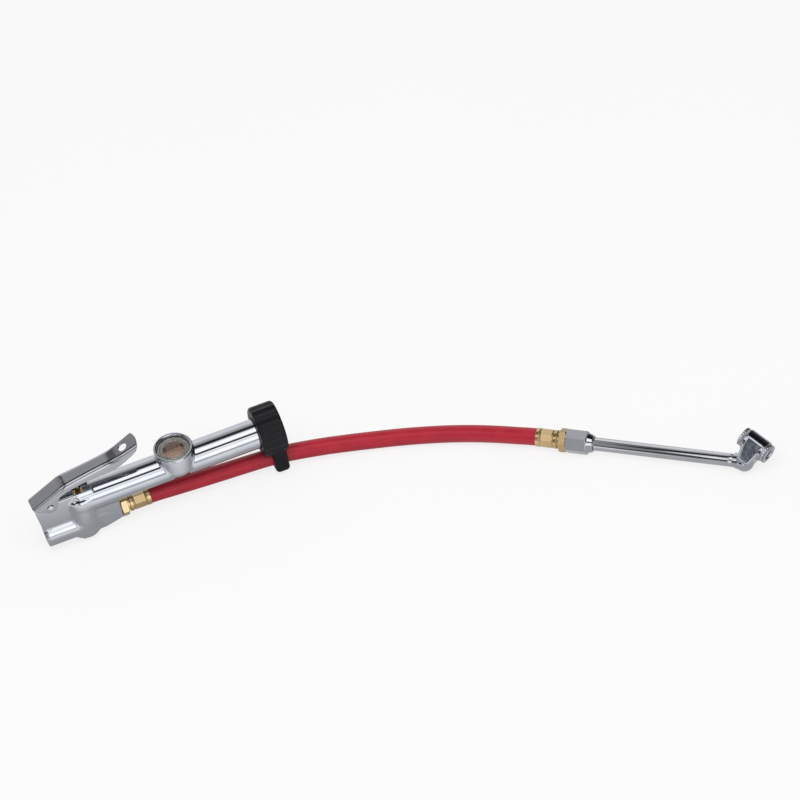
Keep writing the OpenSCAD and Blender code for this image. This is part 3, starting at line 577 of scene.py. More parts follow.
# By the direction's x, what both are multiplied by: flags on the inlet's side, dark past the chuck
STUDIO_SIDE = [
    (-1.0, 1.0), (-0.60, 0.98), (-0.56, 0.60), (-0.44, 0.68), (-0.36, 0.72), (-0.32, 0.30),
    (-0.22, 0.30), (-0.165, 1.0), (-0.10, 1.08), (0.42, 1.0), (0.52, 0.06), (1.0, 0.03),
]
SOFT_LIGHT = 0.62  # the even light that all but mirrors, lens and camera get


def top_level(table):
    return max(level for _, level in table)


def level_ramp(tree, source, table, low, high, peak=1.0):
    """Grey level that a table gives for a source between low and high, divided by peak."""
    stops = [((at - low) / (high - low), grey(level / peak)) for at, level in table]
    return value_ramp(tree, span(tree, source, low, high), stops)


def angle_ramp(tree, source, table, peak):
    table = [(math.radians(angle), level) for angle, level in table]
    return level_ramp(tree, source, table, -math.pi, math.pi, peak)


def background(tree, colour, strength):
    inputs = {"Color": colour, "Strength": strength}
    return add_node(tree, "ShaderNodeBackground", inputs).outputs["Background"]


def make_world():
    world = bpy.data.worlds.new("studio")
    bpy.context.scene.world = world
    world.use_nodes = True
    tree = world.node_tree
    tree.nodes.clear()
    coords = tree.nodes.new("ShaderNodeTexCoord")
    split = add_node(tree, "ShaderNodeSeparateXYZ", {"Vector": coords.outputs["Generated"]})
    angle = add_maths(tree, "ARCTAN2", split.outputs["Z"], split.outputs["Y"])
    peak, side_peak = top_level(STUDIO_BANDS), top_level(STUDIO_SIDE)
    bands = angle_ramp(tree, angle, STUDIO_BANDS, peak)
    left = angle_ramp(tree, angle, STUDIO_LEFT, peak)
    share = level_ramp(tree, split.outputs["X"], LEFT_SHARE, -1.0, 1.0)
    side = level_ramp(tree, split.outputs["X"], STUDIO_SIDE, -1.0, 1.0, side_peak)
    lamps = add_colour_mix(tree, share, bands, left)
    lamps = add_colour_mix(tree, 1.0, lamps, side, "MULTIPLY")
    studio = background(tree, lamps, peak * side_peak)
    soft = background(tree, (1, 1, 1, 1), SOFT_LIGHT)
    white = background(tree, (1, 1, 1, 1), 1.0)
    path = tree.nodes.new("ShaderNodeLightPath")
    seen = add_shader_mix(tree, path.outputs["Is Glossy Ray"], soft, studio)
    seen = add_shader_mix(tree, path.outputs["Is Transmission Ray"], seen, white)
    seen = add_shader_mix(tree, path.outputs["Is Camera Ray"], seen, white)
    add_node(tree, "ShaderNodeOutputWorld", {"Surface": seen})


# Painted reflection: how brightly the floor glows for metal's glossy rays, by the distance from the gauge
# tube's line in metres, dim near the line as painted shade
PAINTED_FLOOR_POOL = [
    (0.0, 0.42), (0.027, 0.52), (0.056, 0.95), (0.08, 1.07), (0.13, 1.22), (0.18, 1.12),
    (0.25, 0.80), (0.45, 0.65),
]
PLAIN_LEVEL = 0.56  # and how bright under the chuck
PLAIN_START, PLAIN_FULL = 0.30, 0.37  # metres along X
FLOOR_GLOW = 0.80  # share of pure white in the floor that the camera sees
FLOOR_HALF = 6000.0  # mm
FLOOR_GAP = 0.02


def painted_floor_reflection(tree):
    """The floor's painted reflection: a glow that only metal sees, dim along the tube's line and growing
    away from it.
    """
    coords = tree.nodes.new("ShaderNodeTexCoord")
    split = add_node(tree, "ShaderNodeSeparateXYZ", {"Vector": coords.outputs["Object"]})
    distance = add_maths(tree, "ABSOLUTE", split.outputs["Y"])
    peak = top_level(PAINTED_FLOOR_POOL)
    pool = level_ramp(tree, distance, PAINTED_FLOOR_POOL, 0.0, PAINTED_FLOOR_POOL[-1][0], peak)
    under_chuck = span(tree, split.outputs["X"], PLAIN_START, PLAIN_FULL)
    level = add_colour_mix(tree, under_chuck, pool, (*grey(PLAIN_LEVEL / peak), 1))
    return add_node(tree, "ShaderNodeEmission", {"Color": level, "Strength": peak}).outputs["Emission"]


def make_floor():
    material = new_material("floor_white")
    tree = material.node_tree
    shader = tree.nodes["Principled BSDF"]
    feed(tree, shader, {
        "Base Color": value_ramp(tree, object_noise(tree, 3), [(0.3, grey(0.80)), (0.7, grey(0.82))]),
        "Roughness": 0.9,
        "Specular IOR Level": 0.0,
    })
    glow = add_node(tree, "ShaderNodeEmission", {"Strength": 1.0})
    path = tree.nodes.new("ShaderNodeLightPath")
    amount = add_maths(tree, "MULTIPLY", path.outputs["Is Camera Ray"], FLOOR_GLOW)
    seen = add_shader_mix(tree, amount, shader.outputs["BSDF"], glow.outputs["Emission"])
    # glossy rays see the floor's painted reflection glow instead of its shading
    seen = add_shader_mix(tree, path.outputs["Is Glossy Ray"], seen, painted_floor_reflection(tree))
    feed(tree, tree.nodes["Material Output"], {"Surface": seen})
    half, z = FLOOR_HALF, FLOOR_Z - FLOOR_GAP
    corners = [(-half, -half, z), (half, -half, z), (half, half, z), (-half, half, z)]
    floor = make_object("floor", corners, [(0, 1, 2, 3)], material)


def make_lamp(name, at, target, size, power):
    data = bpy.data.lights.new(name, "AREA")
    data.shape = "RECTANGLE"
    data.size, data.size_y = size
    data.energy = power
    lamp = bpy.data.objects.new(name, data)
    lamp.location = at
    lamp.rotation_euler = (Vector(target) - Vector(at)).to_track_quat("-Z", "Y").to_euler()
    lamp.visible_camera = False
    lamp.visible_glossy = False
    bpy.context.scene.collection.objects.link(lamp)


def make_studio():
    make_world()
    make_floor()
    make_lamp("key", at=(0.1, -0.5, 1.5), target=(0.25, 0, 0), size=(1.6, 0.8), power=13)
    bpy.context.scene.view_settings.view_transform = "Standard"


# ------------ the hose

def make_hose():
    curve = bpy.data.curves.new("whip_hose", "CURVE")
    curve.dimensions = "3D"
    curve.resolution_u = 12
    curve.bevel_depth = HOSE_R
    curve.bevel_resolution = 10
    curve.use_fill_caps = True
    spline = curve.splines.new("BEZIER")
    spline.bezier_points.add(len(HOSE_ROUTE) - 1)
    points = [Vector(p) for p in HOSE_ROUTE]
    last = len(points) - 1
    for i, (knot, p) in enumerate(zip(spline.bezier_points, points)):
        before, after = points[max(i - 1, 0)], points[min(i + 1, last)]
        if i == 0:
            direction = Vector((1, 0, 0))
        elif i == last:
            direction = Vector((math.cos(CHUCK_YAW), math.sin(CHUCK_YAW), 0))
        else:
            direction = (after - before).normalized()
        knot.co = p
        knot.handle_left_type = knot.handle_right_type = "FREE"
        knot.handle_left = p - direction * (p - before).length / 3
        knot.handle_right = p + direction * (after - p).length / 3
    curve.materials.append(HOSE_RED)
    hose = bpy.data.objects.new("whip_hose", curve)
    bpy.context.scene.collection.objects.link(hose)
    place(hose, "housing", "hose_rubber", "hose")
    return hose


def declare_hose():
    """Gathers the pieces and the nodes on the far end of the hose, which the record lists as a cord;
    nothing is done with them.
    """
    on_hose = {n for n in frame["record"]["physics"]["cord_nodes"] if n != "hose"}
    pieces = [frame["nodes"][n] for n in sorted(on_hose)]
    pieces += [bpy.data.objects[n] for n in ("chuck_crimp", "chuck_insert", "chuck_nut")]


# ------------ the body casting

MACHINED = 0.15  # radius of a machined edge
CAST = 0.3  # and of a cast one
TUBE_R = 11.1
BORE_R = 8.3
CHAMBER_R = 11.3
INLET_R = 10.5
OUTLET_R, OUTLET_SHRINK = 10.9, 2.9  # outlet boss, and by how much its end is thinner
TAPER_START, TAPER_LEN, TAPER_COS = 43, 14, 0.98
OUTLET_HALF = 7.8  # from the middle plane to the boss's flats
BRIDGE_TOP = 17  # wall between the outlet boss and the tube
BOSS_R, BOSS_DEPTH, BOSS_SHOULDER = 13.9, 10.4, 2.4
OPENING_R = 9
WEB_HALF = 6.2
WEB_RIGHT = VALVE_X + CHAMBER_R - 2
WEB = [(-1.8, 8.6), (-5.0, 27.9), (-4.3, 30.2), (-1.6, 32.4), (WEB_RIGHT, 32.4), (WEB_RIGHT, -2.0),
       (12.0, -2.0), (12.0, 6.8)]
SLOT_START, SLOT_END, SLOT_HALF = 12.5, VALVE_X + 7.8, 4.2
PORT_CREST_R, PORT_ROOT_R, PORT_MOUTH_R, PORT_DEPTH = 5.45, 6.05, 6.9, 12
SCREEN_SEAT_R, SCREEN_SEAT_END = 5.25, 12.8
AIRWAY_R, AIRWAY_END = 2.6, 24
LOWER_BORE_R, THROAT_R, THROAT_EDGE, SEAT_Z = 6.5, 3.2, 0.1, 3.2
GUIDE_BORE_R, GUIDE_BORE_Z = 3.95, 20.5
SOCKET_R, SOCKET_DEPTH = 6, 11
PIVOT_HOLE_R = 2.05


def thread_radius(x, angle, crest, root):
    """Radius of a rounded screw thread along its axis."""
    wave = np.abs(((x / THREAD_PITCH - angle / (2 * math.pi)) % 1.0) - 0.5) * 2
    return root + (crest - root) * np.clip(1.4 * wave - 0.2, 0, 1)


def casting_mass(x, y, z, from_tube, from_air, from_valve, from_window):
    """The casting before its bores and its slot are cut."""
    across = np.abs(y)
    above = z - TUBE_Z
    # gauge tube with its round left end
    tube = np.where(x < VALVE_X, np.hypot(x - VALVE_X, from_tube), from_tube)
    tube = meet(tube - TUBE_R, x - TUBE_END, 0.7)
    # window boss, an ellipsoid below the tube's shoulder and straight above it
    under = np.maximum(BOSS_SHOULDER - above, 0) * (BOSS_R / BOSS_DEPTH)
    window = meet(np.hypot(from_window, under) - BOSS_R, z - RIM_Z, 0.4)
    # valve chamber with the inlet and the outlet boss
    chamber = disc(z, from_valve, CHAMBER_BOTTOM, SLOT_FLOOR, CHAMBER_R, 2.4)
    inlet = meet(from_air - INLET_R, slab(x, 0, VALVE_X), 0.9)
    taper = np.clip((x - TAPER_START) / TAPER_LEN, 0, 1)
    outlet = (from_air - OUTLET_R + OUTLET_SHRINK * taper) * TAPER_COS
    outlet = meet(outlet, slab(x, VALVE_X, OUTLET_X), 0.9)
    outlet = meet(outlet, across - OUTLET_HALF, 1.6)
    bridge = np.maximum(slab(x, VALVE_X, OUTLET_X - 1), slab(z, 0, BRIDGE_TOP))
    bridge = meet(across - OUTLET_HALF, bridge, 0.8)
    outlet = join(outlet, bridge, 0.6)
    low = join(join(chamber, inlet, 1.2), outlet, 1.2)
    web = meet(polygon(x, z, WEB), across - WEB_HALF, 0.8)
    return join(join(join(tube, window, 1.2), low, 1.4), web, 1.3)


def casting(x, y, z):
    from_tube = np.hypot(y, z - TUBE_Z)
    from_air = np.hypot(y, z)
    from_valve = np.hypot(x - VALVE_X, y)
    from_window = np.hypot(x - WINDOW_X, y)
    mass = casting_mass(x, y, z, from_tube, from_air, from_valve, from_window)
    # slot for the stem and the lever
    slot = np.maximum(slab(x, SLOT_START, SLOT_END), np.abs(y) - SLOT_HALF)
    mass = carve(mass, np.maximum(slot, SLOT_FLOOR - z), 0.5)
    # each bore: distance from its axis, radius, a field that ends it, and the edge
    port = thread_radius(x, np.arctan2(z, y), PORT_CREST_R, PORT_ROOT_R)
    port = np.maximum(port, PORT_MOUTH_R - np.maximum(x, 0) * 0.9)
    bores = [
        (from_air, port, x - PORT_DEPTH, MACHINED),
        (from_air, SCREEN_SEAT_R, x - SCREEN_SEAT_END, MACHINED),
        (from_air, AIRWAY_R, x - AIRWAY_END, MACHINED),
        (from_valve, LOWER_BORE_R, z - SEAT_Z, MACHINED),
        (from_valve, THROAT_R, -z, THROAT_EDGE),
        (from_valve, GUIDE_BORE_R, GUIDE_BORE_Z - z, MACHINED),
        (from_air, SOCKET_R, OUTLET_X - SOCKET_DEPTH - x, CAST),
        (from_tube, BORE_R, BORE_START - x, CAST),
        (from_window, OPENING_R, TUBE_Z - z, CAST),
        (from_window, LENS_POCKET_R, GASKET_Z - z, MACHINED),
    ]
    for distance, radius, beyond, edge in bores:
        mass = carve(mass, np.maximum(distance - radius, beyond), edge)
    return carve(mass, np.hypot(x - PIVOT[0], z - PIVOT[2]) - PIVOT_HOLE_R, MACHINED)


PAINT_REACH = 20  # from the window's axis
PAINT_OVER = 0.35  # how far from a painted wall a face's centre may lie


def in_window(centres):
    """The gauge bore under the window and the wall of the opening, which are painted."""
    x, y, z = centres.T
    from_window = np.hypot(x - WINDOW_X, y)
    bore = (np.hypot(y, z - TUBE_Z) < BORE_R + PAINT_OVER) & (from_window < PAINT_REACH)
    wall = (from_window < OPENING_R + PAINT_OVER) & (z > TUBE_Z) & (z < GASKET_Z + CAST)
    return bore | wall


def make_casting():
    step = 0.6
    low, high = (-6.4, -15.7, -10.8), (175.2, 15.7, 37.2)
    body = make_field_object("body_shell", casting, low, high, step, CHROME)
    paint_faces(body, DRUM_BROWN, in_window)
    place(body, "housing", "chrome_casting", "body_casting")


# ------------ the lever

SHEET = 1.4
RAMP_LEN, RUN_LEN, TIP_REACH = 28.4, 42.6, 19.5
RAMP_SLOPE, RUN_SLOPE, TIP_SLOPE = (math.radians(a) for a in (28.6, 10.3, 24.5))
TIP_ROUND = 14.0
HANG = TIP_REACH - 11.5  # hang hole, along the tip from its bend
HANG_R = 3.25
EAR_HOLE_R = 2.1
DIMPLE_R = 0.9


def side_step(point, length, slope):
    """The point that lies a length further up a slope, in side view."""
    return point + length * np.array([math.cos(slope), math.sin(slope)])


TAIL = PIVOT[[X, Z]] + (-13.0, 1.6)
KINK = side_step(TAIL, RAMP_LEN, RAMP_SLOPE)
RISE = side_step(KINK, RUN_LEN, RUN_SLOPE)
TIP = side_step(RISE, TIP_REACH, TIP_SLOPE)
DIMPLE = KINK + (0.6, 0.35)
# half width seen from above, at distances from the inlet mouth
LEVER_PLAN = [(-8.5, 8.0), (18.0, 8.0), (26.0, 7.7), (34.0, 7.4), (42.0, 7.15), (50.0, 7.1), (55.0, 7.25),
              (59.0, 7.5), (63.0, 7.8), (68.0, 8.3), (74.0, 8.8), (81.0, 9.2)]
# lower edge of the flanges in side view, from the tail round the pivot's ear to the tip
FLANGE_LOW = [(-5.83, 31.37), (1.823, 28.3), (4.0, 26.4), (6.5, 25.6), (9.2, 26.4), (11.2, 28.4),
              (12.4, 32.0), (13.2, 35.8), (14.9, 38.2), (19.0, 40.0), (25.0, 41.6), (33.2, 43.0),
              (43.8, 43.7), (53.9, 44.2), (58.2, 45.4), (61.9, 46.9), (66.6, 49.95), (71.0, 53.2),
              (74.95, 56.6), (77.2, 59.8), (83.0, 62.4)]
# the flanges' outline closes well above the lever's back
FLANGES = [*FLANGE_LOW, tuple(TIP + (4, -2)), tuple(TIP + (4, 12)), tuple(TAIL + (-0.4, 12)),
           tuple(TAIL + (-0.4, 0))]
KINK_RADIUS, RISE_RADIUS = 20.0, 60.0
BETWEEN_BENDS = 38
OUTER_EDGE, INNER_EDGE, TIP_EDGE = 4.0, 2.6, 2.2


def below(x, z, point, slope):
    """Distance above a line through a point at a slope, negative below it."""
    return (z - point[1]) * math.cos(slope) - (x - point[0]) * math.sin(slope)


def run_from(x, z, point, slope):
    """Distance along a line at a slope, from a point on it."""
    return (x - point[0]) * math.cos(slope) + (z - point[1]) * math.sin(slope)


def bend(x, z, point, before, after, radius):
    """Distance to a face that turns at a point from one slope to the other round an arc."""
    mean, half = (before + after) / 2, abs(after - before) / 2
    side = 1 if after > before else -1
    centre = point + side * radius / math.cos(half) * np.array([-math.sin(mean), math.cos(mean)])
    reach = radius * math.tan(half)
    round_part = side * (radius - np.hypot(x - centre[0], z - centre[1]))
    a, b = below(x, z, point, before), below(x, z, point, after)
    flat = np.minimum(a, b) if side > 0 else np.maximum(a, b)
    on_arc = (run_from(x, z, point, before) > -reach) & (run_from(x, z, point, after) < reach)
    return np.where(on_arc, round_part, flat)


def lever_top(x, z):
    """Distance to the lever's outer face in side view, with its two bends."""
    kink = bend(x, z, KINK, RAMP_SLOPE, RUN_SLOPE, KINK_RADIUS)
    rise = bend(x, z, RISE, RUN_SLOPE, TIP_SLOPE, RISE_RADIUS)
    return np.where(x < BETWEEN_BENDS, kink, rise)


def lever_sheet(x, y, z):
    across = np.abs(y) - np.interp(x, *zip(*LEVER_PLAN))
    top = lever_top(x, z)
    solid = meet(meet(top, across, OUTER_EDGE), polygon(x, z, FLANGES), 0.25)
    cavity = meet(top + SHEET, across + SHEET, INNER_EDGE)
    sheet = carve(solid, cavity, 0.2)
    # the tip is round and the tail square, both with soft corners
    along_tip = run_from(x, z, RISE, TIP_SLOPE)
    end = np.hypot(np.maximum(along_tip - TIP_REACH + TIP_ROUND, 0), y) - TIP_ROUND
    tail = -run_from(x, z, TAIL, RAMP_SLOPE)
    sheet = meet(sheet, meet(end, across, TIP_EDGE), 0.3)
    sheet = meet(sheet, meet(tail, across, OUTER_EDGE), 0.4)
    sheet = carve(sheet, np.hypot(along_tip - HANG, y) - HANG_R, 0.25)
    sheet = carve(sheet, np.hypot(x - PIVOT[0], z - PIVOT[2]) - EAR_HOLE_R, MACHINED)
    # dimple pressed in at the kink
    dimple = np.sqrt((x - DIMPLE[0]) ** 2 + y ** 2 + (z - DIMPLE[1]) ** 2) - DIMPLE_R
    return carve(sheet, dimple, MACHINED)


def make_lever():
    low, high = (-8.4, -9.8, 24.4), (80.4, 9.8, 65.2)
    lever = make_field_object("lever_channel", lever_sheet, low, high, 0.4, LEVER_STEEL)
    place(lever, "lever_arm", "lever_steel", "lever")
    # the pin's domed head, mirrored at its other end
    head = [(9.1, 0.0), (9.08, 0.9), (8.95, 1.7), (8.7, 2.3), (8.3, 2.6), (8.2, 2.6), (8.2, 2.0)]
    profile = [(-x, r) for x, r in head] + head[::-1]
    pin = make_lathe("pivot_pin", profile, STEM_CHROME, PIVOT, turn_matrix("Z", math.pi / 2), 40)
    place(pin, "housing", "chrome_steel", "lever_pin")


# ------------ window, lens and drum

BEZEL_R, BEZEL_CORNER = 14.35, 0.6
BEZEL_BORE = LENS_POCKET_R + 0.1
LENS_R, FOOT_R, DOME_RADIUS = 12.0, 8.95, 22
DOME_TOP = RIM_Z + 2.2
MASK_FOOT, MASK_TOP = LENS_FLANGE + 0.8, RIM_Z - 0.4
MASK_R, MASK_BORE = 11.7, 7.3
RIPPLE, RIPPLE_PITCH = 0.28, 2.1  # the mask's moulded rings
LINER_R, LINER_BORE = 8.7, 8.2


def arc(centre, radius, start, end, steps):
    """Points (x, r) on an arc, angles in degrees from +x towards +r."""
    angles = np.radians(np.linspace(start, end, steps))
    return [(centre[0] + radius * math.cos(a), centre[1] + radius * math.sin(a)) for a in angles]


def bezel_profile():
    ring = [(RIM_Z, BEZEL_BORE), (RIM_Z, 14.1), (RIM_Z + 0.3, BEZEL_R), (RIM_Z + 1.9, BEZEL_R)]
    ring += arc((RIM_Z + 1.9, BEZEL_R - BEZEL_CORNER), BEZEL_CORNER, 90, 20, 6)
    inside = [(0, 13.7), (0.05, 13.0), (0.25, 12.5), (0.7, 12.2), (1.9, BEZEL_BORE)]
    return ring + [(RING_TOP - drop, r) for drop, r in inside]


def lens_profile():
    """Clear dome on a foot that fills the opening."""
    shoulder = RIM_Z + 0.15
    dome_centre = DOME_TOP - DOME_RADIUS
    foot = [(LENS_FOOT, r) for r in np.linspace(0, 8.6, 24)]
    foot += [(LENS_FOOT, 8.7), (LENS_FOOT + 0.05, 8.85), (LENS_FOOT + 0.25, FOOT_R)]
    foot += [(LENS_FLANGE - 0.1, FOOT_R), (LENS_FLANGE, FOOT_R), (LENS_FLANGE, LENS_R)]
    dome = [(max(shoulder, dome_centre + math.sqrt(DOME_RADIUS ** 2 - r * r)), r)
            for r in np.linspace(11.7, 0, 48)]
    return foot + [(RIM_Z, LENS_R), (shoulder, LENS_R - 0.1)] + dome


def mask_profile():
    """Ring with moulded ripples round the clear middle of the lens."""
    ripples = [(MASK_TOP - 0.4 + 0.05 * (11.6 - r)
                + RIPPLE * math.cos(2 * math.pi * (r - MASK_BORE) / RIPPLE_PITCH), r)
               for r in np.linspace(11.6, MASK_BORE + 0.3, 44)]
    foot = [(MASK_FOOT, MASK_BORE), (MASK_FOOT, MASK_R), (MASK_TOP, MASK_R)]
    return foot + ripples + [(MASK_TOP - 0.6, MASK_BORE)]


def make_window():
    at = np.array([WINDOW_X, 0, 0])
    low, high = LENS_FOOT + 0.1, LENS_FLANGE + 0.1
    liner = [(low, LINER_BORE), (low, LINER_R), (high, LINER_R), (high, LINER_BORE)]
    bezel = make_lathe("lens_bezel", bezel_profile(), CHROME, at, UPRIGHT, 128)
    place(bezel, "housing", "chrome_casting", "lens_ring")
    lens = make_lathe("lens_dome", lens_profile(), LENS_CLEAR, at, UPRIGHT)
    mask = make_lathe("lens_rings", mask_profile(), LENS_OLIVE, at, UPRIGHT)
    sleeve = make_lathe("lens_liner", liner, DRUM_BROWN, at, UPRIGHT, 64)
    place(lens, "housing", "lens_plastic", "lens")
    for piece in (mask, sleeve):
        place(piece, "housing", "drum_plastic")


DRUM_R, DRUM_BORE, DRUM_HUB_BORE = 8.0, 5.8, 1.85
DRUM_FLOOR = 4  # thickness of the drum's closed end


def make_drum():
    low, high, chamfer = DRUM_START, DRUM_END, 0.3
    profile = [(low, DRUM_HUB_BORE), (low, DRUM_R - chamfer), (low + chamfer, DRUM_R),
               (high - chamfer, DRUM_R), (high, DRUM_R - chamfer), (high, DRUM_BORE),
               (low + DRUM_FLOOR, DRUM_BORE), (low + DRUM_FLOOR, DRUM_HUB_BORE)]
    drum = make_lathe("scale_drum", profile, DRUM_BROWN, np.array([0, 0, TUBE_Z]), np.eye(3))
    place(drum, "gauge_slider", "drum_plastic", "indicator_drum")


# ------------ boot

BOOT_R = 19.0
FLUTES = 18
FLUTE_AXIS, FLUTE_R = 26.9, 9.0  # each flute is cut by a rod beside the boot
LOOP_X = BOOT_END - 6.8
LOOP_TURN = math.radians(9.8)
LOOP_DROP = 25.5  # from the tube's axis to the middle of the loop's hole
LOOP_BOTTOM = 34.29
LOOP_HALF, LOOP_HALF_LEN = 10.3, 5.25
LOOP_HOLE = np.array([LOOP_X, -LOOP_DROP * math.sin(LOOP_TURN), TUBE_Z - LOOP_DROP * math.cos(LOOP_TURN)])
LOOP_HOLE_R = 6.6
LOOP_YAW = math.radians(-8)
BOOT_BORE_R, BOOT_END_WALL = 11.16, 3.2
LIP_R, LIP_DEPTH = 11.9, 1.1
DISH_R, DISH_DEPTH = 13.5, 0.5


def boot(x, y, z):
    above = z - TUBE_Z
    radial = np.hypot(y, above)
    body = disc(x, radial, BOOT_START, BOOT_END, BOOT_R, 2.6)
    sector = 2 * math.pi / FLUTES
    fold = (np.arctan2(above, y) / sector) % 1.0 * sector - sector / 2
    flute = np.hypot(radial * np.cos(fold) - FLUTE_AXIS, radial * np.sin(fold)) - FLUTE_R
    body = carve(body, flute, 0.5)
    # hose loop under the boot
    across = y * math.cos(LOOP_TURN) - above * math.sin(LOOP_TURN)
    down = -y * math.sin(LOOP_TURN) - above * math.cos(LOOP_TURN)
    outline = meet(np.abs(across) - LOOP_HALF, down - LOOP_BOTTOM, 3.5)
    loop = meet(np.maximum(outline, -down), np.abs(x - LOOP_X) - LOOP_HALF_LEN, 2.8)
    body = join(body, loop, 2.0)
    # bore for the tube, with a wider lip
    body = carve(body, np.maximum(radial - BOOT_BORE_R, x - (BOOT_END - BOOT_END_WALL)), 0.5)
    body = carve(body, meet(radial - LIP_R, np.abs(x - BOOT_START) - LIP_DEPTH, 0.4), 0.4)
    side = -(x - LOOP_HOLE[0]) * math.sin(LOOP_YAW) + (y - LOOP_HOLE[1]) * math.cos(LOOP_YAW)
    body = carve(body, np.hypot(side, z - LOOP_HOLE[2]) - LOOP_HOLE_R, 0.9)
    # shallow dish in the end face
    return carve(body, disc(x, radial, BOOT_END - DISH_DEPTH, BOOT_END + 4, DISH_R, 0.4), 0.4)


def make_boot():
    step = 0.55
    low, high = (BOOT_START - 1, -20.6, -14), (BOOT_END + 1, 20.6, 42.2)
    piece = make_field_object("boot_shell", boot, low, high, step, BOOT_BLACK)
    place(piece, "housing", "boot_rubber", "rubber_boot")


# ------------ hose fittings

CRIMP_R, CRIMP_BAND = 6.7, 3.2  # the round bands at both ends of the ferrule
FRONT_BAND = 13.4
PANEL_FACES, PANEL_HALF, PANEL_GAP = 8, 6.45, 0.7  # the pressed faces between them
CRIMP_CORE_R, HOSE_ENTRY_R, HOSE_ENTRY = 6.15, 6.2, 1.2
NECK_R, NECK_START = 5.6, 14.9
BARB_R, INSERT_BORE_R = 3.15, 2.2
THREAD_CREST_R, THREAD_ROOT_R = 5.95, 5.35
CHAMFER_COS, CHAMFER_SIN = 0.87, 0.5


def ferrule(turn):
    def field(x, y, z):
        radial = np.hypot(y, z)
        faces = np.full(x.shape, -1e9)
        for k in range(PANEL_FACES):
            a = turn + k * 2 * math.pi / PANEL_FACES
            faces = np.maximum(faces, y * math.cos(a) + z * math.sin(a) - PANEL_HALF)
        rear = disc(x, radial, 0, CRIMP_BAND, CRIMP_R, 0.5)
        front = disc(x, radial, FRONT_BAND, FERRULE_LEN, CRIMP_R, 0.5)
        panel = meet(faces, slab(x, CRIMP_BAND + PANEL_GAP, FRONT_BAND - PANEL_GAP), 0.5)
        core = np.maximum(radial - CRIMP_CORE_R, slab(x, 1, FERRULE_LEN - 1))
        body = np.minimum(np.minimum(rear, front), join(panel, core, 0.3))
        return carve(body, np.maximum(radial - HOSE_ENTRY_R, x - HOSE_ENTRY), MACHINED)
    return field


def hex_piece(low, high, across_flats, turn, chamfer):
    """Field of a hexagonal length whose corners are turned off at both ends."""
    def field(x, y, z):
        corner = across_flats / 2 / COS_30 - chamfer
        bar = meet(hexagon(y, z, across_flats, turn), slab(x, low, high), 0.15)
        cone = (np.hypot(y, z) - corner) * CHAMFER_COS + slab(x, low, high) * CHAMFER_SIN
        return meet(bar, cone, 0.15)
    return field


def insert(turn):
    hex_bar = hex_piece(HEX_START, HEX_END, INSERT_FLATS, turn, 0.45)

    def field(x, y, z):
        radial = np.hypot(y, z)
        neck = np.maximum(radial - NECK_R, slab(x, NECK_START, HEX_END))
        barb = np.maximum(radial - BARB_R, slab(x, 1, HEX_END))
        thread = radial - thread_radius(x, np.arctan2(z, y), THREAD_CREST_R, THREAD_ROOT_R)
        thread = meet(thread * 0.8, slab(x, HEX_END - 0.5, THREAD_END), 0.2)
        body = join(np.minimum(np.minimum(neck, barb), thread), hex_bar(x, y, z), 0.25)
        return carve(body, radial - INSERT_BORE_R, MACHINED)
    return field


# name, place and direction of each end, its hexagon's and its crimp's turn, its nodes' name
HOSE_ENDS = [
    ("outlet", OUTLET_START, OUTLET_TURN, 0.0, 0.0, "body"),
    ("chuck", CHUCK_START, CHUCK_TURN, math.radians(30), math.radians(-7), "chuck"),
]


def make_fittings():
    step, half = 0.3, 8.9
    low = (-0.6, -half, -half)
    for name, origin, turn, hex_turn, crimp_turn, node in HOSE_ENDS:
        pieces = [("crimp", ferrule(crimp_turn), FERRULE_LEN, "_ferrule"),
                  ("insert", insert(hex_turn), THREAD_END, "_hose_insert")]
        for part, field, end, stands_for in pieces:
            high = (end + 0.6, half, half)
            piece = make_field_object(name + "_" + part, field, low, high, step, BRASS, origin, turn)
            place(piece, "housing", "brass", node + stands_for)


# ------------ chuck

COUPLING_LEN, COUPLING_HEX = 20.0, 15.5
CONE_R, CONE_SHRINK = 7.4, 1.65  # the coupling's round end
COUPLING_SOCKET_R, COUPLING_SOCKET = 5.95, 10.5
STEM_R, STEM_BORE, STEM_START = 4.75, 2.75, 35.0
STEM_SEAT_R = 4.8
HEAD_COLLAR_R, HEAD_COLLAR_LEN = 5.75, 8.2
STEM_IN_HEAD = np.array([math.cos(HEAD_TURN), -math.sin(HEAD_TURN), 0])
BARREL_HALF, BARREL_R = 8.4, 7.9
VALVE_SOCKET_R = 5.6
DOME_R = 7.0
SHIELD_HALF, SHIELD_RIM = 7.5, 1.0
# outline of the shield between dome and barrel, in the head's middle plane
SHIELD = [(-7.0, 17.4), (-6.7, 9.0), (-4.0, 0.0), (4.4, 0.0), (7.2, 17.4)]
SHIELD_RECESS = SHIELD[1:4] + [(7.2, 17.4), (7.2, 26.0), (-6.7, 26.0)]
COLLAR_PROFILE = [(8.4, 4.3), (8.4, 7.2), (8.9, 7.2), (9.1, 7.05), (11.1, 7.05), (11.3, 7.2),
                  (11.65, 7.1), (11.9, 6.8), (11.9, 4.7), (11.6, 4.3)]
KNURLS, KNURL_DEPTH = 24, 0.32


def coupling(x, y, z):
    radial = np.hypot(y, z)
    hex_end, end = HEX_END + COUPLING_HEX, HEX_END + COUPLING_LEN
    bar = hex_piece(HEX_END, hex_end, COUPLING_FLATS, 0.0, 0.6)(x, y, z)
    shrink = np.clip((x - hex_end) / (end - hex_end), 0, 1) * CONE_SHRINK
    cone = meet((radial - CONE_R + shrink) * 0.93, slab(x, HEX_END + 1, end), 0.6)
    body = join(bar, cone, 0.4)
    body = carve(body, np.maximum(radial - COUPLING_SOCKET_R, x - HEX_END - COUPLING_SOCKET), 0.2)
    return carve(body, radial - STEM_SEAT_R, MACHINED)


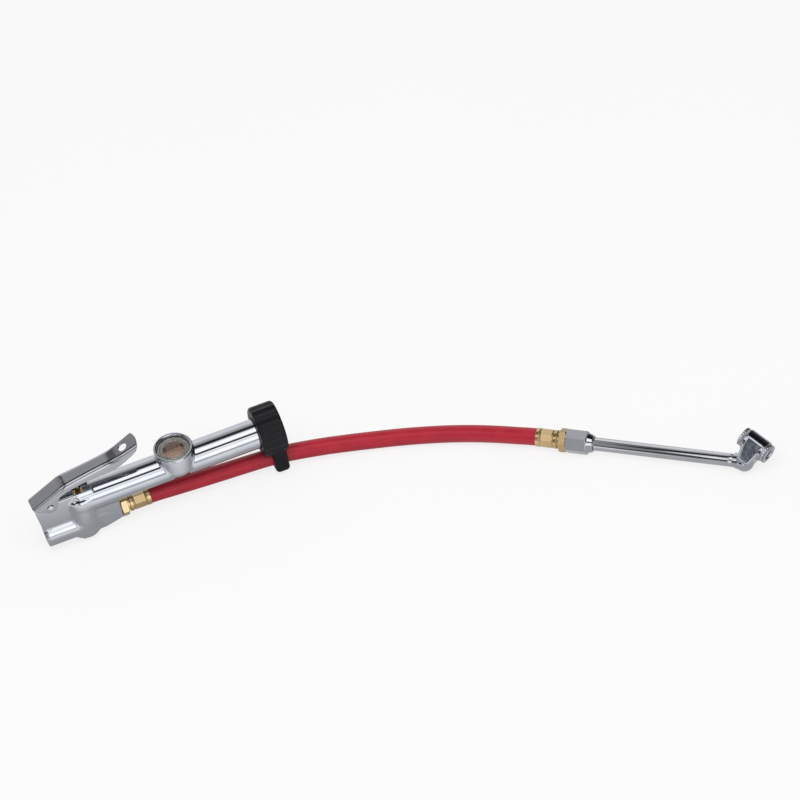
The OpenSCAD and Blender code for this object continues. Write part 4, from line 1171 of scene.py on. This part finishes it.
def make_chuck_stem():
    profile = [(STEM_START, STEM_BORE), (STEM_START, STEM_R - 0.15), (STEM_START + 0.2, STEM_R),
               (CHUCK_REACH - 12, STEM_R), (CHUCK_REACH, STEM_R), (CHUCK_REACH, STEM_BORE)]
    stem = make_lathe("chuck_tube", profile, STEM_CHROME, CHUCK_START, CHUCK_TURN)
    place(stem, "housing", "chrome_steel", "chuck_stem")


def shield_floor(y):
    """Height of the recessed face over the head's middle plane."""
    return 6.3 + np.clip(y - 2, 0, 16) * 0.082


def chuck_head(x, y, z):
    from_barrel = np.hypot(y - HEAD_RISE, z)
    barrel = disc(x, from_barrel, -BARREL_HALF, BARREL_HALF, BARREL_R, 0.5)
    dome = np.sqrt(x * x + y * y + z * z) - DOME_R
    # shield between dome and barrel, with a rim round its recessed face
    thick = np.abs(z)
    body = join(meet(polygon(x, y, SHIELD) - 0.6, thick - SHIELD_HALF, 0.9), dome, 0.8)
    body = join(body, barrel, 0.6)
    inside = polygon(x, y, SHIELD_RECESS) + SHIELD_RIM
    body = carve(body, meet(inside, shield_floor(y) - thick, 0.5), 0.35)
    # collar and seat of the stem
    along = x * STEM_IN_HEAD[0] + y * STEM_IN_HEAD[1]
    from_stem = np.sqrt(np.maximum(x * x + y * y + z * z - along * along, 0))
    body = join(body, disc(along, from_stem, -HEAD_COLLAR_LEN, 0, HEAD_COLLAR_R, 0.5), 0.5)
    body = carve(body, np.maximum(from_stem - STEM_SEAT_R, slab(along, -20, 0)), 0.25)
    socket = np.maximum(from_barrel - VALVE_SOCKET_R, 1.5 - np.abs(x))
    return carve(body, socket, 0.25)


def in_shield(centres):
    """The recessed faces of the shield, which keep a duller finish and a darker colour that is painted
    dark reflection.
    """
    x, y, z = ((centres - HEAD_CENTRE) @ HEAD_FRAME).T
    return (np.abs(np.abs(z) - shield_floor(y)) < 0.12) & (polygon(x, y, SHIELD) < -0.8)


def knurl(x, r, angle):
    """Radius of a collar with ridges cut into its outer band."""
    ridged = 9.0 < x < 11.2 and r > 6.5
    return r - (KNURL_DEPTH * (0.5 + 0.5 * math.cos(KNURLS * angle)) if ridged else 0)


def make_chuck():
    step = 0.3
    low, high = (HEX_END - 0.6, -9.3, -9.3), (HEX_END + COUPLING_LEN + 0.6, 9.3, 9.3)
    nut = make_field_object("chuck_nut", coupling, low, high, step, CHROME, CHUCK_START, CHUCK_TURN)
    place(nut, "housing", "chrome_casting", "chuck_coupling")
    make_chuck_stem()
    low, high = (-9.2, -7.4, -8.6), (9.2, 23.0, 8.6)
    step *= 0.85
    head = make_field_object("chuck_body", chuck_head, low, high, step, CHROME, HEAD_CENTRE, HEAD_FRAME)
    place(head, "housing", "chrome_casting", "chuck_head")
    # the shield's recesses get the painted dark reflection
    paint_faces(head, SHIELD_DARK_REFLECTION, in_shield)
    for name, facing in (("front", 0.0), ("rear", math.pi)):
        turn = HEAD_FRAME @ turn_matrix("Z", facing)
        ring = make_lathe(name + "_collar", COLLAR_PROFILE, CHROME, BARREL_CENTRE, turn, 192, knurl)
        place(ring, "housing", "chrome_casting", name + "_ring")


# ------------ springs

SPRING_JOINTS = {
    "valve_spring": "valve_slide",
    "gauge_spring": "indicator_slide",
    "front_spring": "front_pin_slide",
    "rear_spring": "rear_pin_slide",
}


def squash_springs():
    """Gives each spring a mesh of its own and looks up the joint that moves it; the spring is not
    shortened.
    """
    joints = {j["name"]: j for j in frame["record"]["behaviour"]["joints"]}
    for node, name in SPRING_JOINTS.items():
        spring, joint = frame["nodes"][node], joints[name]
        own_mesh(spring)


dress_nodes()
squash_springs()
make_camera()
make_studio()
hose = make_hose()
make_casting()
make_lever()
make_window()
make_drum()
make_boot()
make_fittings()
make_chuck()
declare_hose()
